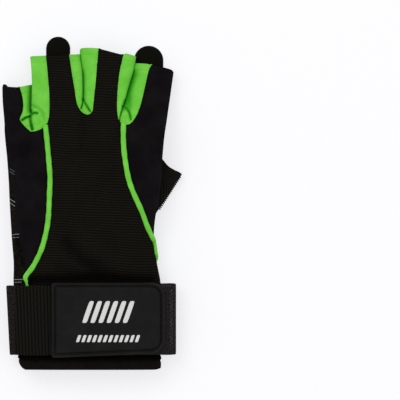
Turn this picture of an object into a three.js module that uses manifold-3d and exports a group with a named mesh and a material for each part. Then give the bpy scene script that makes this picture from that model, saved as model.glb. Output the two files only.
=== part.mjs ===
// A left-hand half-finger fitness glove that lies palm down: a hollow hand with five open sleeves for the
// fingers, sewn from panels, with green gussets and piping, two pull tabs and a wide wrist strap that closes
// with a rubber patch. Millimetres, +Z up, fingers towards +Y, thumb towards +X.
import * as THREE from "three";
import { mergeVertices } from "three/addons/utils/BufferGeometryUtils.js";
import Module from "manifold-3d";

const wasm = await Module();
wasm.setup();

// Sizes of the hand and its sleeves
const palmWidth = 101;
const handLength = 155;
const handHeight = 20;
const archDepth = 22;
const fingerReach = 44.5;
const fingerHeight = 13;
const thumbWidth = 37;
const thumbLength = 48;
const thumbHeight = 9.5;
const thumbAngle = 33;

// Sizes of the cloth and its seams
const clothWall = 1.5;
const seamGap = 0.35;
const foldGap = 0.5;
const hemLength = 5;
const hemSwell = 0.4;
const hemStep = 0.01;
const pipingWidth = 3.3;
const pipingSwell = 0.7;
const bindingLength = 9;
const bindingSwell = 0.5;

// Sizes of the pull tabs; across says where one lies, a share of its finger's width
const ringTab = { width: 14.8, reach: 12, across: 0.545 };
const indexTab = { width: 17, reach: 13.8, across: 0.38 };
const tabRoot = 12;
const tabThickness = 1.4;
const tabArcSides = 9;

// Sizes of the wrist strap and its patch
const strapWidth = 44;
const strapSpan = 105.4;
const strapThickness = 1.8;
const strapTaper = 2.3;
const patchLength = 70;
const patchSlope = 2.6;
const patchCorner = 8.7;
const patchThickness = 1.6;
const patchRim = 2.4;
const patchRimSwell = 0.7;
const patchTuck = 12;

// The glove's edges seen from above: along is a share of handLength from the cuff, left and right are
// shares of palmWidth from the middle line
const silhouette = [
  { along: 0.0, left: -0.418, right: 0.445 },
  { along: 0.058, left: -0.43, right: 0.448 },
  { along: 0.2, left: -0.441, right: 0.447 },
  { along: 0.355, left: -0.457, right: 0.444 },
  { along: 0.42, left: -0.456, right: 0.425 },
  { along: 0.51, left: -0.466, right: 0.405 },
  { along: 0.6, left: -0.475, right: 0.412 },
  { along: 0.68, left: -0.482, right: 0.436 },
  { along: 0.76, left: -0.488, right: 0.45 },
  { along: 0.84, left: -0.497, right: 0.457 },
  { along: 0.92, left: -0.508, right: 0.468 },
  { along: 1.0, left: -0.516, right: 0.485 },
  { along: 1.07, left: -0.525, right: 0.5 },
  { along: 1.14, left: -0.528, right: 0.515 },
  { along: 1.2, left: -0.53, right: 0.528 },
];

// Sections of the hand: height is a share of handHeight, bow says how far the section follows the arch of
// the finger roots, and lobes how far it has parted into the four fingers
const handSections = [
  { along: 0.0, height: 0.83, bow: 0, lobes: 0 },
  { along: 0.058, height: 0.85, bow: 0, lobes: 0 },
  { along: 0.2, height: 0.86, bow: 0, lobes: 0 },
  { along: 0.36, height: 0.88, bow: 0, lobes: 0 },
  { along: 0.43, height: 0.98, bow: 0, lobes: 0 },
  { along: 0.51, height: 1.0, bow: 0, lobes: 0 },
  { along: 0.6, height: 0.98, bow: 0, lobes: 0 },
  { along: 0.7, height: 0.93, bow: 0.15, lobes: 0 },
  { along: 0.8, height: 0.86, bow: 0.4, lobes: 0.12 },
  { along: 0.9, height: 0.79, bow: 0.7, lobes: 0.38 },
  { along: 0.97, height: 0.76, bow: 0.87, lobes: 0.62 },
  { along: 1.035, height: 0.74, bow: 1, lobes: 0.8 },
];

// What lifts the underside: the strap under the cuff, and the thumb sleeve under the thumb side of the
// hand, whose lift grows between two shares of the glove's width
const lifts = [
  { along: 0.36, strap: 1, thumb: 0 },
  { along: 0.43, strap: 0, thumb: 0 },
  { along: 0.51, strap: 0, thumb: 0.05 },
  { along: 0.6, strap: 0, thumb: 0.4 },
  { along: 0.7, strap: 0, thumb: 0.88 },
  { along: 0.77, strap: 0, thumb: 1 },
  { along: 0.92, strap: 0, thumb: 1 },
  { along: 1.0, strap: 0, thumb: 0.62 },
  { along: 1.1, strap: 0, thumb: 0 },
];

const thumbSide = { from: 0.3, to: 0.78 };

// Lines where two fingers lie against each other, in shares of handLength and palmWidth
const fingerFolds = {
  pinkyRing: [{ along: 0.8, across: -0.345 }, { along: 1.25, across: -0.351 }],
  ringMiddle: [{ along: 0.8, across: -0.032 }, { along: 1.25, across: -0.046 }],
  middleIndex: [{ along: 0.8, across: 0.188 }, { along: 1.25, across: 0.298 }],
};

// Fingers: root is a share of handLength, endLeft and endRight are shares of fingerReach past handLength,
// and height is a share of fingerHeight
const fingers = [
  { name: "pinky", root: 0.76, endLeft: 0.472, endRight: 0.484, height: 0.92, tab: 0 },
  { name: "ring", root: 0.86, endLeft: 0.872, endRight: 0.892, height: 0.93, tab: 1 },
  { name: "middle", root: 0.86, endLeft: 0.995, endRight: 0.863, height: 1, tab: 0 },
  { name: "index", root: 0.8, endLeft: 0.766, endRight: 0.69, height: 0.9, tab: 1 },
];

// Sections of a finger from its root to its open end: its height grows out of the hand, and its floor
// starts higher than the hand's, both in shares of its full height
const fingerSections = [
  { step: 0, height: 0.86, lift: 0.05 },
  { step: 0.3, height: 0.91, lift: 0.03 },
  { step: 0.6, height: 0.96, lift: 0.01 },
  { step: 0.8, height: 1, lift: 0 },
  { step: 1, height: 1, lift: 0 },
];

// Seams seen from above, each point [along, across] in shares of handLength and palmWidth
const seams = {
  outerPiping: [
    [-0.1, -0.368], [0.06, -0.368], [0.28, -0.374], [0.346, -0.384], [0.372, -0.383], [0.414, -0.34],
    [0.478, -0.29], [0.542, -0.262], [0.606, -0.246], [0.702, -0.238], [0.766, -0.235], [0.83, -0.242],
    [0.894, -0.251], [0.958, -0.259], [1.01, -0.268],
  ],
  innerPiping: [
    [0.34, 0.462], [0.39, 0.448], [0.42, 0.436], [0.455, 0.424], [0.486, 0.415], [0.526, 0.393],
    [0.574, 0.36], [0.638, 0.324], [0.702, 0.28], [0.758, 0.249], [0.83, 0.229], [0.894, 0.219],
    [0.958, 0.218], [1.01, 0.222],
  ],
  pinkyRingGusset: [
    [1.36, -0.43], [1.134, -0.424], [1.07, -0.405], [1.022, -0.418], [1.002, -0.422], [0.974, -0.399],
    [0.958, -0.374], [0.947, -0.338], [0.951, -0.3], [0.966, -0.262], [0.99, -0.248], [1.03, -0.24],
    [1.078, -0.237], [1.15, -0.243], [1.254, -0.254], [1.4, -0.262],
  ],
  ringMiddleGusset: [
    [1.4, -0.122], [1.254, -0.114], [1.15, -0.095], [1.078, -0.077], [1.045, -0.064], [1.022, -0.05],
    [1.01, -0.025], [1.008, 0.0], [1.016, 0.019], [1.038, 0.028], [1.086, 0.037], [1.166, 0.046],
    [1.286, 0.058], [1.42, 0.067],
  ],
  middleIndexGusset: [
    [1.4, 0.232], [1.258, 0.215], [1.218, 0.203], [1.158, 0.184], [1.086, 0.172], [1.038, 0.169],
    [1.002, 0.175], [0.978, 0.19], [0.968, 0.218], [0.972, 0.246], [0.992, 0.276], [1.026, 0.304],
    [1.062, 0.326], [1.118, 0.353], [1.174, 0.371], [1.218, 0.38], [1.36, 0.4],
  ],
};

// Where the palm's seam runs, a share of the height of the section, and the places where it is worked out
const palmSeam = 0.3;
const seamShares = [-0.3, 0, 0.15, 0.3, 0.42, 0.54, 0.66, 0.78, 1, 1.3];
const seamAlongs = [-0.4, ...handSections.map((row) => row.along), 1.1, 1.6];

// Where the thumb's mouth is, in shares of palmWidth and handLength, and how its sleeve grows from its root
const thumbMouth = { across: 0.424, along: 0.847 };
const thumbSections = [
  { along: 0, width: 0.94, height: 0.42 },
  { along: 0.12, width: 0.96, height: 0.62 },
  { along: 0.35, width: 0.98, height: 0.95 },
  { along: 0.6, width: 1, height: 1 },
  { along: 1, width: 1, height: 1 },
];

// Where the strap lies: its middle, the start of its patch, and its hidden join under the wrist
const strapMiddle = 0.019 * palmWidth;
const patchStart = -0.221 * palmWidth;
const strapJoin = 0.15 * palmWidth;

const lobeSteps = 6;
const fingerSides = 16;
const strapSides = 44;
const cornerSides = 5;
const ovalPower = 2.5;
const strapPower = 3;
const flatFoot = 1.1;
const strapFoot = bindingLength + seamGap;
const strapFloor = strapThickness + seamGap;
const tabFloor = tabThickness + seamGap;
const beyond = 60;

const finishes = {
  knit: { color: 0x171614, roughness: 0.85, metalness: 0 },
  stretch: { color: 0x151316, roughness: 0.7, metalness: 0 },
  lime: { color: 0x6cc749, roughness: 0.65, metalness: 0 },
  suede: { color: 0x161514, roughness: 0.75, metalness: 0 },
  elastic: { color: 0x191816, roughness: 0.8, metalness: 0 },
  loop: { color: 0x1b191a, roughness: 0.95, metalness: 0 },
  rubber: { color: 0x242223, roughness: 0.55, metalness: 0 },
};

// A closed three.js geometry as a solid for joining and cutting
function solidOf(geometry) {
  geometry.deleteAttribute("normal");
  geometry.deleteAttribute("uv");
  const merged = mergeVertices(geometry, 1e-4);
  const vertProperties = new Float32Array(merged.attributes.position.array);
  const triVerts = new Uint32Array(merged.index.array);
  return new wasm.Manifold(new wasm.Mesh({ numProp: 3, vertProperties, triVerts }));
}

// A solid as a named mesh with one of the finishes
function piece(name, solid, finish) {
  const made = solid.getMesh();
  const geometry = new THREE.BufferGeometry();
  geometry.setAttribute("position", new THREE.Float32BufferAttribute(made.vertProperties, 3));
  geometry.setIndex(new THREE.Uint32BufferAttribute(made.triVerts, 1));
  geometry.computeVertexNormals();
  const mesh = new THREE.Mesh(geometry, new THREE.MeshStandardMaterial(finishes[finish]));
  mesh.name = name;
  return mesh;
}

// A solid through rings of equally many points, one behind the other along +Y, each turning from +X to +Z
function loft(rings) {
  const count = rings[0].length;
  const index = [];
  for (let r = 0; r + 1 < rings.length; r++) {
    for (let i = 0; i < count; i++) {
      const here = r * count + i;
      const next = r * count + ((i + 1) % count);
      index.push(here, here + count, next, next, here + count, next + count);
    }
  }
  for (const [ring, first, side] of [[rings[0], 0, 1], [rings.at(-1), (rings.length - 1) * count, -1]]) {
    const flat = ring.map((p) => new THREE.Vector2(p.x, p.z));
    for (const [a, b, c] of THREE.ShapeUtils.triangulateShape(flat, [])) {
      const turn = flat[b].clone().sub(flat[a]).cross(flat[c].clone().sub(flat[a]));
      index.push(first + a, first + (turn * side > 0 ? b : c), first + (turn * side > 0 ? c : b));
    }
  }
  const geometry = new THREE.BufferGeometry();
  const numbers = rings.flat().flatMap((p) => p.toArray());
  geometry.setAttribute("position", new THREE.Float32BufferAttribute(numbers, 3));
  geometry.setIndex(index);
  return solidOf(geometry);
}

// An upright wall over a flat outline
function upright(outline, bottom = -beyond, top = beyond) {
  const settings = { depth: top - bottom, bevelEnabled: false };
  const geometry = new THREE.ExtrudeGeometry(new THREE.Shape(outline), settings);
  geometry.translate(0, 0, bottom);
  return solidOf(geometry);
}

const joined = (solids) => solids.reduce((all, solid) => all.add(solid));
const spot = (across, along) => new THREE.Vector2(across * palmWidth, along * handLength);

// The value of a table's column at a share along the hand, in straight steps between its rows
function at(table, column, along) {
  const after = table.findIndex((row) => row.along >= along);
  if (after === 0) return table[0][column];
  if (after < 0) return table.at(-1)[column];
  return THREE.MathUtils.mapLinear(
    along, table[after - 1].along, table[after].along, table[after - 1][column], table[after][column],
  );
}

const leftEdge = (y) => at(silhouette, "left", y / handLength) * palmWidth;
const rightEdge = (y) => at(silhouette, "right", y / handLength) * palmWidth;
const archDrop = (x) => archDepth * ((2 * x) / palmWidth) ** 2;

// How high the underside lies: the cuff on the strap, and the thumb side on the thumb sleeve
function underside(x, y) {
  const share = (x - leftEdge(y)) / (rightEdge(y) - leftEdge(y));
  const over = THREE.MathUtils.smoothstep(share, thumbSide.from, thumbSide.to);
  const thumbLift = at(lifts, "thumb", y / handLength) * over * (thumbHeight + seamGap);
  return at(lifts, "strap", y / handLength) * strapFloor + thumbLift;
}

// Points round an oval with bulging sides and a flat foot, each a share of its half width and half height
function ovalPoint(turn, power) {
  const [across, up] = [Math.cos(turn), Math.sin(turn)].map((v) => Math.sign(v) * Math.abs(v) ** (2 / power));
  return { across, up: up < 0 ? Math.max(-1, up * flatFoot) : up };
}
function ovalPoints(count, power) {
  return Array.from({ length: count }, (_, k) => ovalPoint((k / count) * 2 * Math.PI, power));
}

// How far such an oval reaches up, or down at side -1, at a place across it
function ovalReach(across, side) {
  const up = (1 - Math.min(1, Math.abs(across)) ** ovalPower) ** (1 / ovalPower);
  return side > 0 ? up : -Math.min(1, up * flatFoot);
}

// Where a finger's two sides lie: the glove's edges outside, the fold lines between two fingers
function foldAt(fold, y) {
  const [a, b] = fingerFolds[fold];
  const along = Math.max(y / handLength, a.along);
  return THREE.MathUtils.mapLinear(along, a.along, b.along, a.across, b.across) * palmWidth;
}
const fingerSidesAt = {
  pinky: (yl, yr) => [leftEdge(yl), foldAt("pinkyRing", yr) - foldGap / 2],
  ring: (yl, yr) => [foldAt("pinkyRing", yl) + foldGap / 2, foldAt("ringMiddle", yr) - foldGap / 2],
  middle: (yl, yr) => [foldAt("ringMiddle", yl) + foldGap / 2, foldAt("middleIndex", yr) - foldGap / 2],
  index: (yl, yr) => [foldAt("middleIndex", yl) + foldGap / 2, rightEdge(yr)],
};

// One section of the hand, from +X over the top: an oval that swells into a lobe for each finger
function handRing(row, inset, shift) {
  const y = row.along * handLength;
  const bowed = (x) => y - row.bow * archDrop(x);
  const [x0, x1] = [leftEdge(bowed(leftEdge(y))) + inset, rightEdge(bowed(rightEdge(y))) - inset];
  const half = (row.height * handHeight) / 2;
  const halves = [1, -1].map((side) => {
    const order = side > 0 ? fingers.toReversed() : fingers;
    return order.flatMap((finger) => {
      const spread = fingerSidesAt[finger.name](y, y);
      const [a, b] = fingerSidesAt[finger.name](bowed(spread[0]), bowed(spread[1]));
      const from = finger === fingers[0] ? x0 : a;
      const to = finger === fingers.at(-1) ? x1 : b;
      return Array.from({ length: lobeSteps + 1 }, (_, k) => {
        const lobe = ovalPoint(Math.PI * (k / lobeSteps + (side > 0 ? 0 : 1)), ovalPower);
        const x = (from + to) / 2 + ((to - from) / 2) * lobe.across;
        const up = ovalReach((2 * x - x0 - x1) / (x1 - x0), side);
        const foot = underside(x, bowed(x));
        const lobeHalf = (finger.height * fingerHeight) / 2;
        const lobeTop = foot + finger.tab * tabFloor + lobeHalf * (1 + lobe.up);
        const z = THREE.MathUtils.lerp(foot + half * (1 + up), lobeTop, row.lobes) - inset * up;
        return new THREE.Vector3(x, bowed(x) + shift, z);
      });
    });
  });
  return [...halves[0], ...halves[1].slice(1, -1)];
}

// The hand; inset draws its walls in and ends it before the finger roots, and past lets its cuff end run on
function handSolid(inset, past = 0) {
  const rows = inset > 0 ? handSections.slice(0, -1) : handSections;
  const shifts = rows.map((row, i) => (i === 0 ? -past : 0) - (i === rows.length - 1 ? inset : 0));
  return loft(rows.map((row, i) => handRing(row, inset, shifts[i])));
}

const fingerEnd = (finger, side) => handLength + finger[side] * fingerReach;

// A finger sleeve with a fuller hem at its open end; inset draws its walls in, and past lets its end run on
function fingerSolid(finger, inset, past = 0) {
  const root = finger.root * handLength;
  const ends = [fingerEnd(finger, "endLeft"), fingerEnd(finger, "endRight")];
  const hem = 1 - hemLength / (ends[0] - root);
  const rows = fingerSections.map((row) => ({ ...row, swell: inset === 0 && row.step === 1 ? hemSwell : 0 }));
  const hemRows = [{ ...rows.at(-1), step: hem - hemStep, swell: 0 }, { ...rows.at(-1), step: hem }];
  const rings = [...rows.slice(0, -1), ...(inset === 0 ? hemRows : []), rows.at(-1)].map((row) => {
    const { step, swell } = row;
    const [yl, yr] = ends.map((end) => THREE.MathUtils.lerp(root, end, step));
    const [x0, x1] = fingerSidesAt[finger.name](yl, yr);
    const half = (row.height * finger.height * fingerHeight) / 2;
    return ovalPoints(fingerSides, ovalPower).map(({ across, up }) => {
      const x = (x0 + x1) / 2 + ((x1 - x0) / 2 - inset) * across;
      const y = (yl + yr) / 2 + ((yr - yl) / 2) * across;
      const foot = underside(x, y) + finger.tab * tabFloor + row.lift * fingerHeight;
      const z = foot + half + (half - inset + (up > 0 ? swell : 0)) * up;
      return new THREE.Vector3(x, y + (step === 1 ? past : 0), z);
    });
  });
  return loft(rings);
}

// The thumb sleeve, which lies under the hand with its open end past the hand's edge
function thumbSolid(inset, past = 0) {
  const lean = THREE.MathUtils.degToRad(thumbAngle);
  const mouth = spot(thumbMouth.across, thumbMouth.along);
  const rings = thumbSections.map((row) => {
    const extra = row.along === 0 ? inset : (row.along === 1 ? past : 0);
    const along = (row.along - 1) * thumbLength + extra;
    const half = (row.height * thumbHeight) / 2;
    return ovalPoints(fingerSides, ovalPower).map(({ across, up }) => {
      const side = ((row.width * thumbWidth) / 2 - inset) * across;
      const x = mouth.x + Math.cos(lean) * side + Math.sin(lean) * along;
      const y = mouth.y - Math.sin(lean) * side + Math.cos(lean) * along;
      return new THREE.Vector3(x, y, half + (half - inset) * up);
    });
  });
  return loft(rings);
}

// Everything below the palm's seam; gap raises its top
function belowSeam(gap) {
  const rings = seamAlongs.map((along) => {
    const y = along * handLength;
    const seam = palmSeam * at(handSections, "height", along) * handHeight;
    const top = seamShares.map((share) => {
      const x = THREE.MathUtils.lerp(leftEdge(y), rightEdge(y), share);
      return new THREE.Vector3(x, y, underside(x, y) + seam + gap);
    });
    const foot = [top[0], top.at(-1)].map((p) => new THREE.Vector3(p.x, y, -beyond));
    return [...foot, ...top.reverse()];
  });
  return loft(rings);
}

// Points along a seam, and an upright wall of a given width along it
function seamPoints(name) {
  const curve = new THREE.SplineCurve(seams[name].map(([along, across]) => spot(across, along)));
  return curve.getPoints((seams[name].length - 1) * 2);
}
function alongSeam(name, width) {
  const points = seamPoints(name);
  const sides = [width / 2, -width / 2].map((reach) =>
    points.map((p, i) => {
      const [before, after] = [points[Math.max(i - 1, 0)], points[Math.min(i + 1, points.length - 1)]];
      const way = after.clone().sub(before).normalize();
      return new THREE.Vector2(p.x - way.y * reach, p.y + way.x * reach);
    }),
  );
  return upright([...sides[0], ...sides[1].reverse()]);
}
const lowest = (points) => points.reduce((low, p, i) => (p.y < points[low].y ? i : low), 0);

// The sewn body: an outer form less its hollow
const openFingers = fingers.map((finger) => fingerSolid(finger, clothWall, beyond));
const hollow = joined([handSolid(clothWall, beyond), ...openFingers, thumbSolid(clothWall)]);
const outerForm = joined([handSolid(0), ...fingers.map((finger) => fingerSolid(finger, 0))]);
function cuffEnd(length) {
  const corners = [[-1, -beyond], [1, -beyond], [1, length], [-1, length]];
  return upright(corners.map(([side, y]) => new THREE.Vector2(side * palmWidth, y)));
}
const body = outerForm.subtract(hollow).subtract(cuffEnd(bindingLength + seamGap));

// Its panels: zones seen from above, parted by narrow seams
const gussetNames = ["pinkyRingGusset", "ringMiddleGusset", "middleIndexGusset"];
const pipingNames = ["outerPiping", "innerPiping"];
const gussetZones = gussetNames.map((name) => upright(seamPoints(name)));
const gussetSeams = joined(gussetNames.map((name) => alongSeam(name, seamGap)));
const pipingSeams = joined(pipingNames.map((name) => alongSeam(name, pipingWidth + 2 * seamGap)));
const pinkyGusset = seamPoints("pinkyRingGusset");
const pinkySide = pinkyGusset.slice(0, lowest(pinkyGusset)).reverse();
const indexGusset = seamPoints("middleIndexGusset");
const indexSide = indexGusset.slice(lowest(indexGusset) + 1);
const [outerPiping, innerPiping] = pipingNames.map(seamPoints);
const outerZone = upright([spot(-0.8, -0.2), ...outerPiping, ...pinkySide, spot(-0.8, 1.5)]);
const thumbZone = upright([spot(0.8, 0.34), ...innerPiping, ...indexSide, spot(0.8, 1.5)]);
const upper = body.subtract(belowSeam(seamGap)).subtract(gussetSeams);
const panels = upper.subtract(pipingSeams).subtract(joined(gussetZones));
const pipingShell = handSolid(-pipingSwell)
  .subtract(hollow)
  .subtract(belowSeam(seamGap))
  .subtract(cuffEnd(bindingLength + seamGap))
  .subtract(joined([...gussetZones, gussetSeams]));

// The thumb sleeve, open at its mouth and into the hand
const thumbSleeve = thumbSolid(0)
  .subtract(thumbSolid(clothWall, beyond))
  .subtract(handSolid(-seamGap));

// The pull tabs: flat tongues under the fingers with round ends
function tabSolid(fingerName, { width, reach, across }) {
  const finger = fingers.find((row) => row.name === fingerName);
  const end = (fingerEnd(finger, "endLeft") + fingerEnd(finger, "endRight")) / 2;
  const [x0, x1] = fingerSidesAt[fingerName](end, end);
  const middle = THREE.MathUtils.lerp(x0, x1, across);
  const shape = new THREE.Shape();
  shape.moveTo(middle - width / 2, end - tabRoot);
  shape.lineTo(middle + width / 2, end - tabRoot);
  shape.absarc(middle, end + reach - width / 2, width / 2, 0, Math.PI, false);
  return upright(shape.getPoints(tabArcSides), 0, tabThickness);
}

// The wrist strap's loop round the cuff, grown outwards by reach; past lets both its edges run on
function strapSolid(reach, past = 0) {
  const clear = pipingSwell + seamGap;
  const rings = [strapFoot - past, strapFoot + strapWidth + past].map((y) => {
    const half = (at(handSections, "height", y / handLength) * handHeight + seamGap + clear) / 2;
    const taper = (1 - (y - strapFoot) / strapWidth) * strapTaper;
    return ovalPoints(strapSides, strapPower).map(({ across, up }) => {
      const inner = strapSpan / 2 - strapThickness - (across < 0 ? taper : 0);
      const x = strapMiddle + (inner + reach) * across;
      return new THREE.Vector3(x, y, strapThickness + half + (half + reach) * up);
    });
  });
  return loft(rings);
}

// A block through the whole strap over an outline seen from the cuff
function acrossStrap(outline) {
  return loft([-beyond, 2 * beyond].map((y) => outline.map(([x, z]) => new THREE.Vector3(x, y, z))));
}
const strapLoop = strapSolid(strapThickness).subtract(strapSolid(0));
const topJoin = patchStart + patchTuck;
const midHeight = handHeight / 2;
const elasticZone = acrossStrap([
  [strapJoin, -beyond], [strapJoin, midHeight], [topJoin, midHeight], [topJoin, beyond],
  [-2 * beyond, beyond], [-2 * beyond, -beyond],
]);
const loopZone = acrossStrap([
  [2 * beyond, -beyond], [2 * beyond, beyond], [topJoin + seamGap, beyond], [topJoin + seamGap, midHeight],
  [strapJoin + seamGap, midHeight], [strapJoin + seamGap, -beyond],
]);

// The patch on top of the strap: its far corners are round, and a raised rim runs round it
function patchZone(inset) {
  const [x0, x1] = [patchStart + inset, patchStart + patchLength - inset];
  const [y0, y1] = [strapFoot + inset, strapFoot + strapWidth - inset];
  const corner = patchCorner - inset;
  const shape = new THREE.Shape();
  shape.moveTo(x0, y1);
  shape.lineTo(x0, y0 - patchSlope);
  shape.absarc(x1 - corner, y0 + corner, corner, -Math.PI / 2, 0, false);
  shape.absarc(x1 - corner, y1 - corner, corner, 0, Math.PI / 2, false);
  return upright(shape.getPoints(cornerSides), midHeight);
}
const patchFoot = strapThickness + seamGap;
const underPatch = strapSolid(patchFoot, patchSlope);
const patchBase = strapSolid(patchFoot + patchThickness, patchSlope).subtract(underPatch);
const patchTop = strapSolid(patchFoot + patchThickness + patchRimSwell, patchSlope).subtract(underPatch);
const rimZone = patchZone(0).subtract(patchZone(patchRim));
const patch = patchBase.intersect(patchZone(0)).add(patchTop.intersect(rimZone));

const cuffBinding = handSolid(-bindingSwell).subtract(hollow).intersect(cuffEnd(bindingLength));

const glove = new THREE.Group();
glove.add(
  piece("back_panel", panels.subtract(joined([outerZone, thumbZone])), "knit"),
  piece("outer_side_panel", panels.intersect(outerZone), "stretch"),
  piece("thumb_side_panel", panels.intersect(thumbZone), "stretch"),
  piece("palm_panel", body.intersect(belowSeam(0)), "suede"),
  piece("gusset_pinky_ring", upper.intersect(gussetZones[0]), "lime"),
  piece("gusset_ring_middle", upper.intersect(gussetZones[1]), "lime"),
  piece("gusset_middle_index", upper.intersect(gussetZones[2]), "lime"),
  piece("piping_outer", pipingShell.intersect(alongSeam("outerPiping", pipingWidth)), "lime"),
  piece("piping_inner", pipingShell.intersect(alongSeam("innerPiping", pipingWidth)), "lime"),
  piece("thumb_sleeve", thumbSleeve, "knit"),
  piece("pull_tab_ring", tabSolid("ring", ringTab), "suede"),
  piece("pull_tab_index", tabSolid("index", indexTab), "suede"),
  piece("cuff_binding", cuffBinding, "stretch"),
  piece("elastic_strap", strapLoop.intersect(elasticZone), "elastic"),
  piece("loop_band", strapLoop.intersect(loopZone), "loop"),
  piece("strap_patch", patch, "rubber"),
);

// The glove stands on its lowest point, centred over the origin
glove.updateMatrixWorld(true);
const extent = new THREE.Box3().setFromObject(glove);
const centre = extent.getCenter(new THREE.Vector3());
glove.position.set(-centre.x, -centre.y, -extent.min.z);

export default glove;
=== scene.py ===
"""A left-hand half-finger fitness glove that lies palm down: sewn and creased pieces for the part's solids.

Shapes are worked out in millimetres, from the middle of the cuff as in the part's source, and become metres
in the frame when a piece is made. Knit, stretch cloth, gussets and palm are cut from two skins along the
seams: the roof over the hand, and the floor under it."""

import bpy
import numpy as np
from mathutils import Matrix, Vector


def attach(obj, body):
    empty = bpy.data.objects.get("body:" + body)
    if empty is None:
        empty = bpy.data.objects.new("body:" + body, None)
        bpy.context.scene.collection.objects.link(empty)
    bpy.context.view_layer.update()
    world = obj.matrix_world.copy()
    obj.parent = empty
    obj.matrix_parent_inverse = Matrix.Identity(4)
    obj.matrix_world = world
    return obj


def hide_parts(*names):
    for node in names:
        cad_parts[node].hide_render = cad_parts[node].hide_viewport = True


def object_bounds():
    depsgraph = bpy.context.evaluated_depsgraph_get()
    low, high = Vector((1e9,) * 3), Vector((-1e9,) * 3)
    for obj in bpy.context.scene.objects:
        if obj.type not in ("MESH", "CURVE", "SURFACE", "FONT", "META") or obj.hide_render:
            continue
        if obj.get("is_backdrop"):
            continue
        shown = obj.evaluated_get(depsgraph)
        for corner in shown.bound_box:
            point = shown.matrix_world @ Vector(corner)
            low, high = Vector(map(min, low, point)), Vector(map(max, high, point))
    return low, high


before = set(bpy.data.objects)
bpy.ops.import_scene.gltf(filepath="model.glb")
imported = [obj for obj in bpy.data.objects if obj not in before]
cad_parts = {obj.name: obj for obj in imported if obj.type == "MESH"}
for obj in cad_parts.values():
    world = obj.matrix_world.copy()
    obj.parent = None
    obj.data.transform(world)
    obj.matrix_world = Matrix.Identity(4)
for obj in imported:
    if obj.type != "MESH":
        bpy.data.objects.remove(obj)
cad_low, cad_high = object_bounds()

# Sizes of the hand and its sleeves, as in the part's source
PALM_WIDTH = 101
HAND_LENGTH = 155
HAND_HEIGHT = 20
ARCH_DEPTH = 22
FINGER_REACH = 44.5
FINGER_HEIGHT = 13
THUMB_WIDTH = 37
THUMB_LENGTH = 48
THUMB_HEIGHT = 9.5
THUMB_ANGLE = np.radians(33)
CLOTH = 1.1
SEAM_GAP = 0.35
FOLD_PRESS = 0.07
BINDING_LENGTH = 9
PIPING_WIDTH = 3.2
PIPING_HEIGHT = 1.0
TAB_ROOT = 12
TAB_THICKNESS = 1.3
STRAP_WIDTH = 44
STRAP_SPAN = 105.4
STRAP_THICKNESS = 1.8
STRAP_TAPER = 2.3
PATCH_LENGTH = 70
PATCH_SLOPE = 2.6
PATCH_CORNER = 8.7
PATCH_SHIFT = 0.8
PATCH_FIELD = 1.78
PATCH_SINK = 0.2
STRAP_ROOM = 0.7
STRAP_FOOT = BINDING_LENGTH + SEAM_GAP
STRAP_FLOOR = STRAP_THICKNESS + SEAM_GAP
TAB_FLOOR = 1.4 + SEAM_GAP
STRAP_MIDDLE = 0.019 * PALM_WIDTH
PATCH_START = -0.221 * PALM_WIDTH
STRAP_JOIN = 0.15 * PALM_WIDTH
TOP_JOIN = PATCH_START + 12
OVAL_POWER = 2.5
STRAP_POWER = 3
FLAT_FOOT = 1.1
PALM_SEAM = 0.3

# Where the hand's one oval turns into the four fingers' own, in shares of its length along its bowed sections
PARTING = (0.985, 1.115)

# Where fingertips rise onto the tabs, in the same shares
TAB_LIFT = (0.97, 1.1)

# The lowest that cloth and strap lie over the table
CLOTH_GROUND = 0.03
STRAP_GROUND = 0.02

# How far apart the elastic's ribs are
RIB_PITCH = 2.1

# The cuff's middle in the frame, and a millimetre there
PLACE = np.array([-2.5154, cad_low[1] * 1000, 0.0])
MM = 0.001

# The photograph: millimetres to a pixel, and the pixels of the cuff's middle and of the picture's middle
PIXEL = 0.62
CUFF_PIXEL = (88, 369.5)
PHOTO_MIDDLE = (200, 200)

# Edges of the glove seen from above: along, left, right
EDGES = np.array([
    [0, -0.418, 0.445], [0.058, -0.43, 0.448], [0.2, -0.441, 0.447], [0.355, -0.457, 0.444],
    [0.42, -0.456, 0.425], [0.51, -0.466, 0.405], [0.6, -0.475, 0.412], [0.68, -0.482, 0.436],
    [0.76, -0.488, 0.45], [0.84, -0.497, 0.457], [0.92, -0.508, 0.468], [1, -0.516, 0.485],
    [1.07, -0.525, 0.5], [1.14, -0.528, 0.515], [1.2, -0.53, 0.528],
])

# Sections of the hand: along, height, bow
SECTIONS = np.array([
    [0, 0.83, 0], [0.058, 0.85, 0], [0.2, 0.86, 0], [0.36, 0.88, 0], [0.43, 0.98, 0], [0.51, 1, 0],
    [0.6, 0.98, 0], [0.7, 0.93, 0.15], [0.8, 0.86, 0.4], [0.9, 0.79, 0.7], [0.97, 0.76, 0.87],
    [1.035, 0.74, 1],
])

# What lifts the underside: along, strap, thumb
LIFTS = np.array([
    [0, 1, 0], [0.36, 1, 0], [0.43, 0, 0], [0.51, 0, 0.05], [0.6, 0, 0.4], [0.7, 0, 0.88], [0.77, 0, 1],
    [0.92, 0, 1], [1, 0, 0.62], [1.1, 0, 0],
])

# Lines where two fingers lie against each other: along, and across for each of the three lines
FOLDS = np.array([
    [0.8, -0.345, -0.032, 0.135], [0.994, -0.347, -0.033, 0.192], [1.046, -0.3475, -0.0345, 0.212],
    [1.078, -0.3465, -0.0345, 0.227], [1.14, -0.3445, -0.0345, 0.2525], [1.195, -0.347, -0.0375, 0.2785],
    [1.25, -0.3545, -0.0505, 0.294],
])

# Where the fingers' own roofs start, at the folds and at the two free sides, in millimetres up the hand, and
# how boxy each finger's roof is at its left and its right
FOLD_STARTS = np.array([158.5, 166.4, 162.6])
SIDE_START = 150
LEFT_POWER = [OVAL_POWER, 4.5, 2.2, 1.9]
RIGHT_POWER = [1.9, 3.6, 4.5, OVAL_POWER]

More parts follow.
